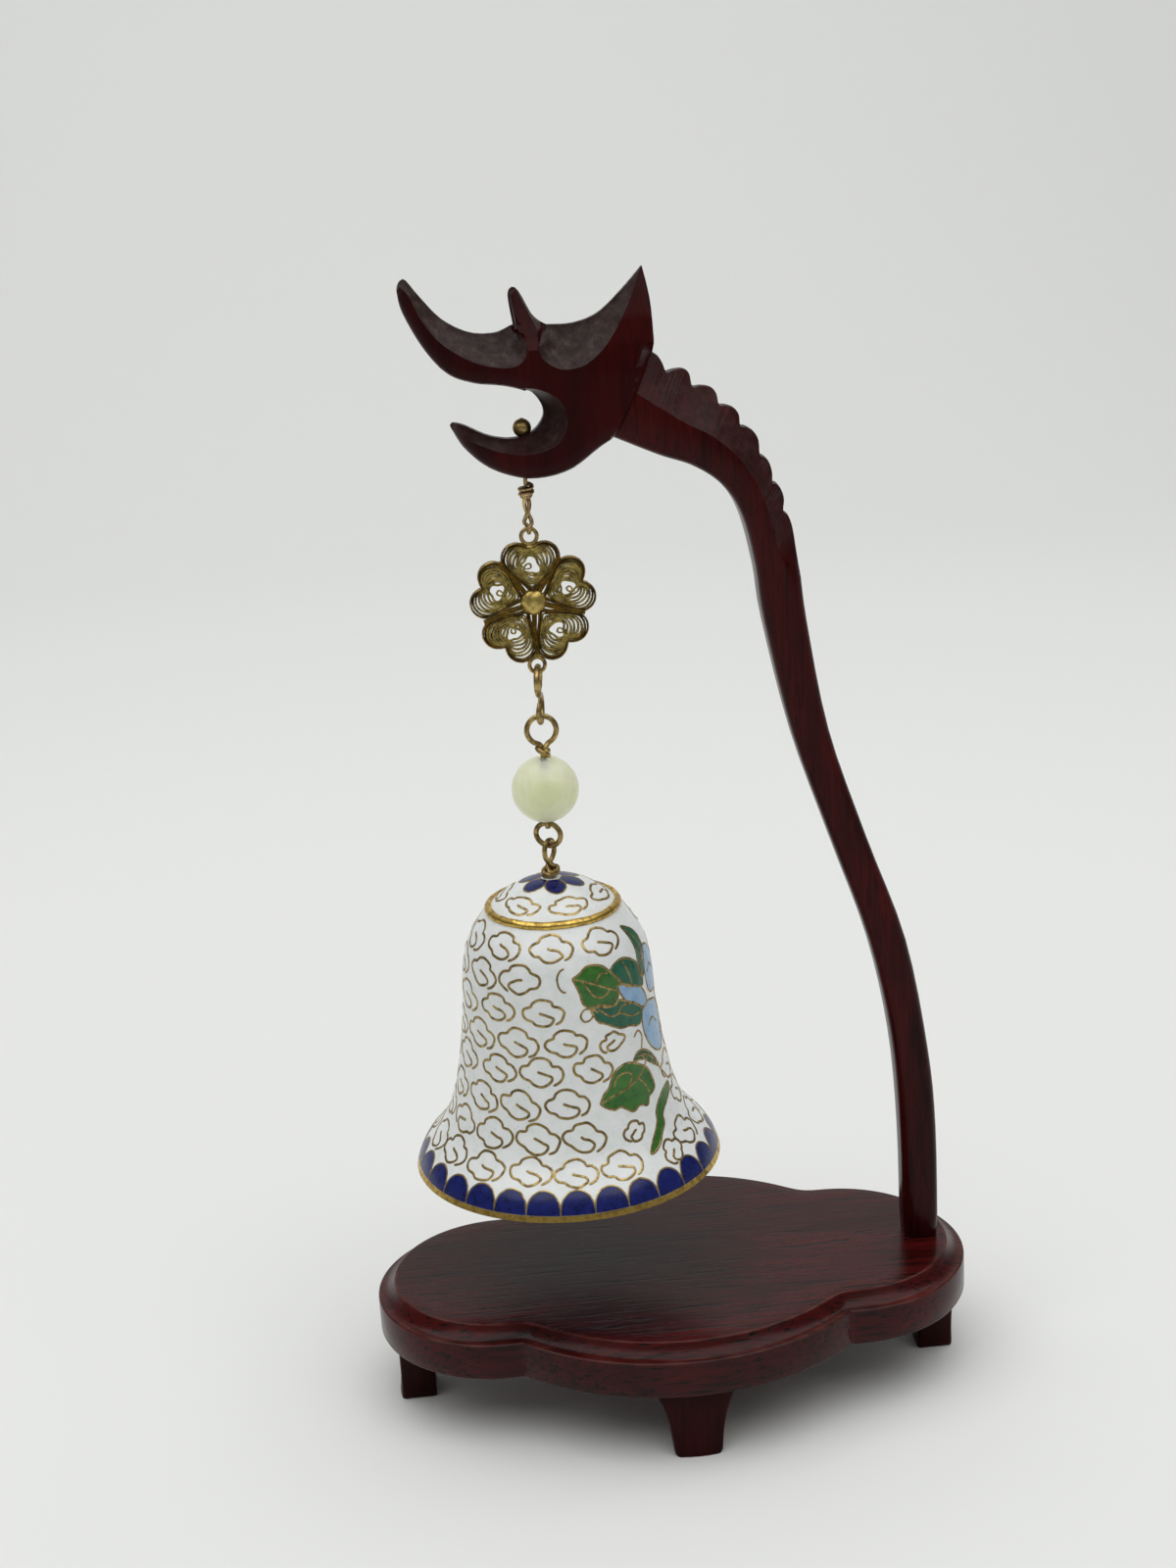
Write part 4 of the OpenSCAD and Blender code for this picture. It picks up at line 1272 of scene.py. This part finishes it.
def enamel_patch(shape, outline, lift=0.025, spacing=0.8):
    """Enamel field inside a closed outline of (theta, s) points."""
    flat = [(t * MM_PER_DEGREE, s) for t, s in outline]
    n = len(flat)
    (low_x, high_x), (low_s, high_s) = ((min(side), max(side)) for side in zip(*flat))
    inner = []
    for i in range(int((high_x - low_x) / spacing) + 1):
        for j in range(int((high_s - low_s) / spacing) + 1):
            p = (low_x + i * spacing, low_s + j * spacing)
            if inside(flat, p) and distance_to_ring(flat, p) > 0.3 * spacing:
                inner.append(p)
    made, keep, rim = fill(flat, flat + inner, [(i, (i + 1) % n) for i in range(n)], 1e-5)
    count = len(made)
    shape.add([on_bell(p.x / MM_PER_DEGREE, p.y, up) for up in (lift, SUNK) for p in made],
              keep + [(b, a, count + a, count + b) for a, b in rim]
              + [tuple(count + i for i in reversed(face)) for face in keep])


def crown_patch(shape, theta, petal):
    """Petal near the top, where lines of equal theta run together."""
    path = curve(petal, 4)
    middle = sum(s for _, s in petal) / len(petal)
    rings = [[on_bell(t, s, SUNK) for t, s in round_from(theta, path)]]
    for size in (1.0, 0.75, 0.5, 0.25):
        shrunk = [(x * size, middle + (s - middle) * size) for x, s in path]
        rings.append([on_bell(t, s, 0.025) for t, s in round_from(theta, shrunk)])
    shape.grid(rings, around=True)
    shape.fan(rings[-1], on_bell(theta, middle, 0.03))
    shape.fan(rings[0], on_bell(theta, middle, SUNK), flip=True)


def enamel_skin(name, first, last, stands_for):
    """White enamel over a stretch of the profile, open where the bell's wire goes through."""
    skin = [on_profile(RUN[i]) for i in range(first, last + 1, 2)]
    skin += [on_profile(RUN[i], -0.59) for i in range(last - last % 2, first - 1, -6)]
    shape = Shape()
    revolved(shape, [(max(r, 0.55), z) for r, z in skin])
    shape.piece(name, WHITE, "bell", "white_enamel", stands_for)


# One cloud scroll, in halves of its width and height: outline and inward curl.
CLOUD = [(-0.2, 0.02), (-0.02, -0.06), (0.24, -0.16), (0.46, -0.3), (0.5, -0.54), (0.32, -0.82),
         (0, -0.97), (-0.36, -0.86), (-0.56, -0.62), (-0.86, -0.5), (-1.02, -0.12), (-0.92, 0.26),
         (-0.62, 0.42), (-0.52, 0.7), (-0.26, 0.93), (0.08, 0.98), (0.38, 0.8), (0.5, 0.5),
         (0.76, 0.44), (0.98, 0.14), (1.0, -0.24), (0.84, -0.6), (0.58, -0.84)]
# The rows of clouds up the bell: distance up the profile, and theta of one cloud.
CLOUD_ROWS = [(8.0, 3), (13.6, -15), (19.0, 1), (24.4, -12), (29.4, 2), (34.7, -10.5),
              (40.0, -24), (45.2, -3)]
# Small clouds among the leaves: theta, s, half width, half height, turn.
SMALL_CLOUDS = [(30.4, 28.3, 2.4, 1.6, 8), (34.6, 12.6, 2.1, 1.75, 6), (50.6, 6.9, 2.5, 2.1, 24)]


def cloud(shape, theta, s, wide, tall, turn, mirror):
    """One cloud scroll of wire, with every point a little off."""
    points = [(x * wide * mirror + random.uniform(-0.12, 0.12),
               y * tall + random.uniform(-0.1, 0.1))
              for x, y in CLOUD]
    fine_wire(shape, placed(curve(points, 3), theta, s, turn), 0.46)


# The flower spray, as closed outlines of (theta, s).
UPPER_LEAF = [(8.7, 40.1), (13.5, 40.8), (18, 41.7), (23.5, 41.8), (29, 41.3), (33, 40.3),
              (37, 39.2), (40.5, 37.9), (38, 37), (37.5, 35.6), (34, 34.4), (28, 34.7), (23, 35),
              (18, 34.9), (14, 35.7), (12.6, 37.4), (10.8, 38.8)]
UNDER_LEAF = [(18, 34.4), (23, 34.8), (28, 34.4), (34, 34.2), (38, 34.9), (43, 34.2), (50, 33.2),
              (56, 31.9), (55, 29.8), (50, 29.3), (44, 29.9), (38, 30), (33, 30.6), (27, 31.6),
              (22.5, 32.2)]
BACK_LEAF = [(34, 40.2), (38.4, 41), (45, 41.4), (53, 40.6), (60, 38.8), (62, 36.6), (60, 35.3),
             (50, 36.3), (44, 37.1), (40, 37.9)]
SLENDER_LEAF = [(57.5, 46.2), (63, 45.6), (69.5, 44.2), (71.5, 41.6), (67.5, 38.6), (63, 36.6),
                (58.5, 38.2), (60.5, 41), (60, 43.6)]
LOW_LEAF = [(18.2, 18.4), (21, 19.9), (24.4, 20.8), (27, 22.3), (31, 23.5), (38.6, 23.9),
            (46.4, 22.9), (53, 21.4), (55.6, 19.4), (56, 17.9), (52.4, 17.2), (49.5, 16.9),
            (47, 15.7), (41.5, 16.3), (36.6, 15.7), (30, 17.1), (25, 17)]
CURL = [(42.6, 23.7), (47, 24.9), (54, 24.6), (60.5, 22.9), (65, 20.5), (58, 21.8), (51, 23.3)]
STEM_LEAF = [(71.5, 16.8), (63, 16.4), (56, 15.3), (51.6, 14), (50.2, 12.5), (46.6, 11.1),
             (42.6, 9.8), (38.6, 8.1), (42.4, 8.2), (46.4, 9), (50.8, 10.4), (55, 11.6),
             (55.8, 12.8), (60, 13.8), (66, 14.7), (71.5, 15.6)]
BUD_LEAF = [(88, 19.6), (94, 21.6), (102, 22.2), (110, 20.8), (117, 18), (108, 16.6), (98, 17)]
FAR_LEAF = [(146, 33.6), (137, 32.2), (126, 32.8), (116, 34.6), (112, 37.6), (120, 39.6),
            (130, 39), (140, 36.8)]
BLOSSOM = [
    [(37.5, 37.3), (42, 37.2), (46, 36.5), (52, 36), (58.2, 35.2), (63, 33.4), (63.5, 31.8),
     (59.5, 31.6), (55, 32.2), (49.5, 33.4), (45, 33.8), (41.5, 34.8), (39, 36)],
    [(66.5, 40.2), (72, 41.2), (80, 40.6), (87, 38.6), (90, 35.4), (87, 33), (78, 32.6),
     (69, 33.4), (66, 36)],
    [(57, 31.2), (64, 32), (72, 31.6), (80, 30.6), (83, 27.6), (80, 24.4), (75, 22.6), (67, 23),
     (60, 24.8), (56, 27.4), (55.5, 29.6)],
    [(90, 40.4), (97, 41.2), (105, 39.4), (108, 36.2), (102, 33.6), (94, 33.6), (93, 37)],
    [(99, 32.8), (106, 34.4), (113, 33), (116, 29.8), (111, 26.9), (103, 27.2), (98, 29.6)],
    [(85, 25.6), (90, 27.2), (98, 26.8), (102, 24.2), (97, 21.8), (89, 21.4), (83, 22.8)]]
HEART_OF_BLOSSOM = [(82, 31.6), (86, 32.5), (91, 32.3), (96, 30.6), (95, 28.6), (89, 27.8),
                    (86, 28.6), (83.5, 30)]
VEINS = [
    [(8.9, 40.1), (16, 39.4), (24, 38.4), (31, 37.4), (37.5, 36.6)],
    [(22, 38.6), (27, 40.1), (32, 39.9)], [(15, 39.5), (21, 36.8), (27, 36.2), (32, 37.2)],
    [(23, 34.4), (31, 32.6), (38, 32.6), (46, 31.4), (54, 31.2)],
    [(36, 32.7), (40, 33.8), (46, 33.4)],
    [(45, 41), (48, 38.8), (50, 36.6)], [(58.5, 45.6), (65, 43), (65, 39)],
    [(18.4, 18.4), (25.5, 19.2), (35.5, 19.8), (44, 20.7), (51, 22.2), (55, 23.6)],
    [(35.5, 19.8), (40, 21.5), (36, 22.5), (29.5, 22), (27.5, 20.6)],
    [(44, 20.7), (48, 19.4), (50.5, 17.6)],
    [(46, 24.2), (53, 23.9), (60, 22.3), (66, 19.8), (72, 17.6)],
    [(112, 37.4), (124, 36.6), (136, 34.6), (145, 33.6)], [(89, 19.6), (100, 20), (115, 18.2)],
    [(70, 36.6), (76, 37.6), (82, 36.2)], [(96, 36.4), (100, 38), (104, 37)],
    [(62, 28), (68, 28.8), (75, 27.2)],
    [(89, 24.2), (94, 25), (98, 24)], [(102, 30.6), (107, 31.6), (111, 30)]]
TENDRILS = [
    [(4.2, 41.9), (1.4, 41.5), (-0.4, 40.4), (0.2, 39), (2.2, 38.2), (4.4, 38)],
    [(23, 33.8), (19, 34.6), (14.5, 34.7), (12, 33.7), (14, 32.7), (18, 32.9), (19.5, 33.8),
     (18, 34.6)],
    [(46, 27.6), (50, 28.4), (53, 27.2), (51.5, 25.6), (50, 24.2), (52, 23.4)]]


SPRAY = [UPPER_LEAF, UNDER_LEAF, BACK_LEAF, SLENDER_LEAF, LOW_LEAF, CURL, STEM_LEAF, BUD_LEAF,
         FAR_LEAF, HEART_OF_BLOSSOM, *BLOSSOM, *TENDRILS]
# One petal on the crown: millimetres to its side, and down from the end of the profile.
CROWN_PETAL = [(-0.75, 1.5), (-1.5, 2.6), (-1.75, 3.9), (-1.1, 5.1), (0, 5.5),
               (1.1, 5.1), (1.75, 3.9), (1.5, 2.6), (0.75, 1.5)]


def near_spray(theta, s):
    """Whether a cloud centred here would run into the spray."""
    p = (theta * MM_PER_DEGREE, s)
    for outline in SPRAY:
        flat = [(t * MM_PER_DEGREE, y) for t, y in outline]
        if inside(flat, p) or distance_to_ring(flat, p) < 2.6:
            return True
    return False


def clouds(wires):
    """Rows of clouds up the body, small ones among the leaves, and six on the dome."""
    for s, phase in CLOUD_ROWS:
        count = round(2 * math.pi * on_profile(s)[0] / 8.05)
        for k in range(count):
            theta = (360 * (k + random.uniform(-0.05, 0.05)) / count + phase + 180) % 360 - 180
            size = random.uniform(0.95, 1.05) * (1.04 - s / 900)
            turn = random.uniform(-10, 10) - 5
            place = s + random.uniform(-0.25, 0.25)
            mirror = -1 if random.random() < 0.08 else 1
            if not near_spray(theta, place):
                cloud(wires, theta, place, 3.5 * size, 2.42 * size, turn, mirror)
    for theta, s, wide, tall, turn in SMALL_CLOUDS:
        cloud(wires, theta, s, wide, tall, turn, -1)
    for k in range(6):
        wide = 3.5 * random.uniform(0.95, 1.03)
        turn = random.uniform(-5, 5)
        cloud(wires, 60 * (k + 0.32) - 180, SHOULDER_S + 3.4, wide, 1.8, turn, 1)


def scallops(cobalt, wires):
    """Row of blue arches on the rim, each under a wire."""
    start = RUN[RIM_BAND_END]
    count, wide, tall = 28, 2.76, 3.9
    for k in range(count):
        theta = 360 * k / count + 2
        arch = [(-wide * math.cos(math.pi * j / 20),
                 start + 0.02 + tall * math.sin(math.pi * j / 20) ** 0.88) for j in range(21)]
        over = round_from(theta, arch)
        arch += [(wide - wide * j / 4, start + 0.02) for j in range(1, 8)]
        enamel_patch(cobalt, round_from(theta, arch), 0.03, 0.6)
        fine_wire(wires, [(theta + (t - theta) * 1.04, s + 0.12 * (s - start) / tall)
                          for t, s in over], 0.3, 0.06)


def bell_decoration():
    """Wires and coloured fields, gathered into one object for each colour."""
    wires, clear, dark, sky, cobalt, crown = (Shape() for _ in range(6))
    clouds(wires)
    for shape, outlines in (
            (clear, (UPPER_LEAF, LOW_LEAF, BUD_LEAF)),
            (dark, (UNDER_LEAF, BACK_LEAF, SLENDER_LEAF, CURL)),
            (clear, (STEM_LEAF,)), (dark, (FAR_LEAF,)), (sky, BLOSSOM)):
        for outline in outlines:
            bent = curve(outline + outline[:1], 4)
            enamel_patch(shape, bent[:-1])
            fine_wire(wires, bent, 0.36, 0.06)
    bent = closed_curve(HEART_OF_BLOSSOM, 4)
    fine_wire(wires, bent + bent[:1], 0.36, 0.06)
    for line in VEINS + TENDRILS:
        fine_wire(wires, curve(line, 5), 0.33, 0.07)
    scallops(cobalt, wires)
    petal = [(x, RUN[-1] - down) for x, down in CROWN_PETAL]
    for theta in range(10, 370, 60):
        crown_patch(crown, theta, petal)
        fine_wire(wires, curve(round_from(theta, petal), 4), 0.3, 0.06)
    wires.piece("cloison_wires", WIRE, "bell", "gilt_brass", sharp=50)
    clear.piece("green_leaves", LEAF, "bell", "green_enamel")
    dark.piece("dark_green_leaves", TEAL, "bell", "green_enamel")
    sky.piece("light_blue_petals", SKY, "bell", "light_blue_enamel")
    cobalt.piece("rim_scallops", COBALT, "bell", "blue_enamel", ["rim_enamel"])
    crown.piece("crown_petals", COBALT, "bell", "blue_enamel", ["crown_enamel"])


def shoulder_bead():
    """Rounded gilt band round the shoulder with slightly uneven edges."""
    tall, proud, steps = 0.72, 0.62, 192
    rows = []
    for b in round_angles(12):
        row = []
        for k in range(steps):
            a = 360 * k / steps
            wave = (0.03 * math.sin(math.radians(a * 7))
                    + 0.02 * math.sin(math.radians(a * 19 + 40)))
            row.append(on_bell(a, SHOULDER_S + tall * math.cos(b) + wave,
                               proud * math.sin(b) + 0.6 * wave))
        rows.append(row)
    shape = Shape()
    shape.grid(rows, around=True, loop=True)
    shape.piece("shoulder_bead", GILT, "bell", "gilt_brass", ["shoulder_band"])


enamel_skin("white_body", RIM_BAND_END, BODY_END, ["body_enamel"])
enamel_skin("white_dome", BODY_END, len(PROFILE) - 3, ["dome_enamel"])
bell_decoration()
shoulder_bead()


# ---------------------------------------------------------------- CAD pieces that stay

for node, material in {
        "flower_top_ring": BRASS, "flower_bottom_ring": BRASS, "bell_shell": COPPER,
        "inner_enamel": INSIDE, "rim_band": GILT, "clapper_wire": BRASS,
        "clapper_ball": BRASS}.items():
    mesh = frame["nodes"][node].data
    mesh.materials.clear()
    mesh.materials.append(material)


# ---------------------------------------------------------------- studio and camera


def studio():
    """Seamless pale sweep, a soft light overhead, one on the backdrop and an even surround."""
    paper = Finish("backdrop_paper", Roughness=0.9, Specular_IOR_Level=0.1)
    paper.shader.inputs["Base Color"].default_value = (0.785, 0.793, 0.78, 1.0)
    wide, back, bend, tall = 2600, 700, 420, 1500
    line = [(-1500, 0), (back, 0)]
    line += [(back + bend * math.sin(a), bend - bend * math.cos(a))
             for a in (math.pi / 2 * k / 16 for k in range(1, 17))]
    line += [(back + bend, tall)]
    shape = Shape()
    shape.grid([[(x, y, z) for x in (-wide, wide)] for y, z in line])
    mesh = bpy.data.meshes.new("backdrop")
    mesh.from_pydata([Vector(p) * MM for p in shape.points], [], shape.faces)
    mesh.shade_smooth()
    mesh.materials.append(paper.material)
    sweep = bpy.data.objects.new("backdrop", mesh)
    bpy.context.scene.collection.objects.link(sweep)

    world = bpy.data.worlds.new("surround")
    bpy.context.scene.world = world
    world.use_nodes = True
    sky = world.node_tree.nodes["Background"]
    sky.inputs["Color"].default_value = (0.99, 1.0, 0.98, 1.0)
    sky.inputs["Strength"].default_value = 0.17

    for name, place, size, power, aim in (
            ("overhead", (-10, -140, 950), (1900, 1400), 14.6, (0, 0, 90)),
            ("backdrop_wash", (0, 560, 950), (1800, 300), 2.3, (0, 1150, 560))):
        light = bpy.data.lights.new(name, "AREA")
        light.shape = "RECTANGLE"
        light.size, light.size_y = size[0] * MM, size[1] * MM
        light.energy = power
        lamp = bpy.data.objects.new(name, light)
        lamp.location = Vector(place) * MM
        lamp.rotation_euler = (lamp.location - Vector(aim) * MM).to_track_quat("Z", "Y").to_euler()
        bpy.context.scene.collection.objects.link(lamp)


def camera():
    """The photo's view: slightly above and to the left, tilted a little."""
    data = bpy.data.cameras.new("camera")
    data.lens = 54
    data.sensor_width = 36
    data.clip_start, data.clip_end = 0.01, 20
    view = bpy.data.objects.new("camera", data)
    place = Vector((-36.8, -367.1, 223.7)) * MM
    target = Vector((-9.8, -0.6, 108.8)) * MM
    back = (place - target).normalized()
    right = Vector((0, 0, 1)).cross(back).normalized()
    up = back.cross(right)
    roll = Matrix.Rotation(math.radians(-3.39), 3, back)
    right, up = roll @ right, roll @ up
    view.matrix_world = Matrix.Translation(place) @ Matrix((right, up, back)).transposed().to_4x4()
    bpy.context.scene.collection.objects.link(view)
    bpy.context.scene.camera = view


studio()
camera()
bpy.context.scene.view_settings.view_transform = "Standard"
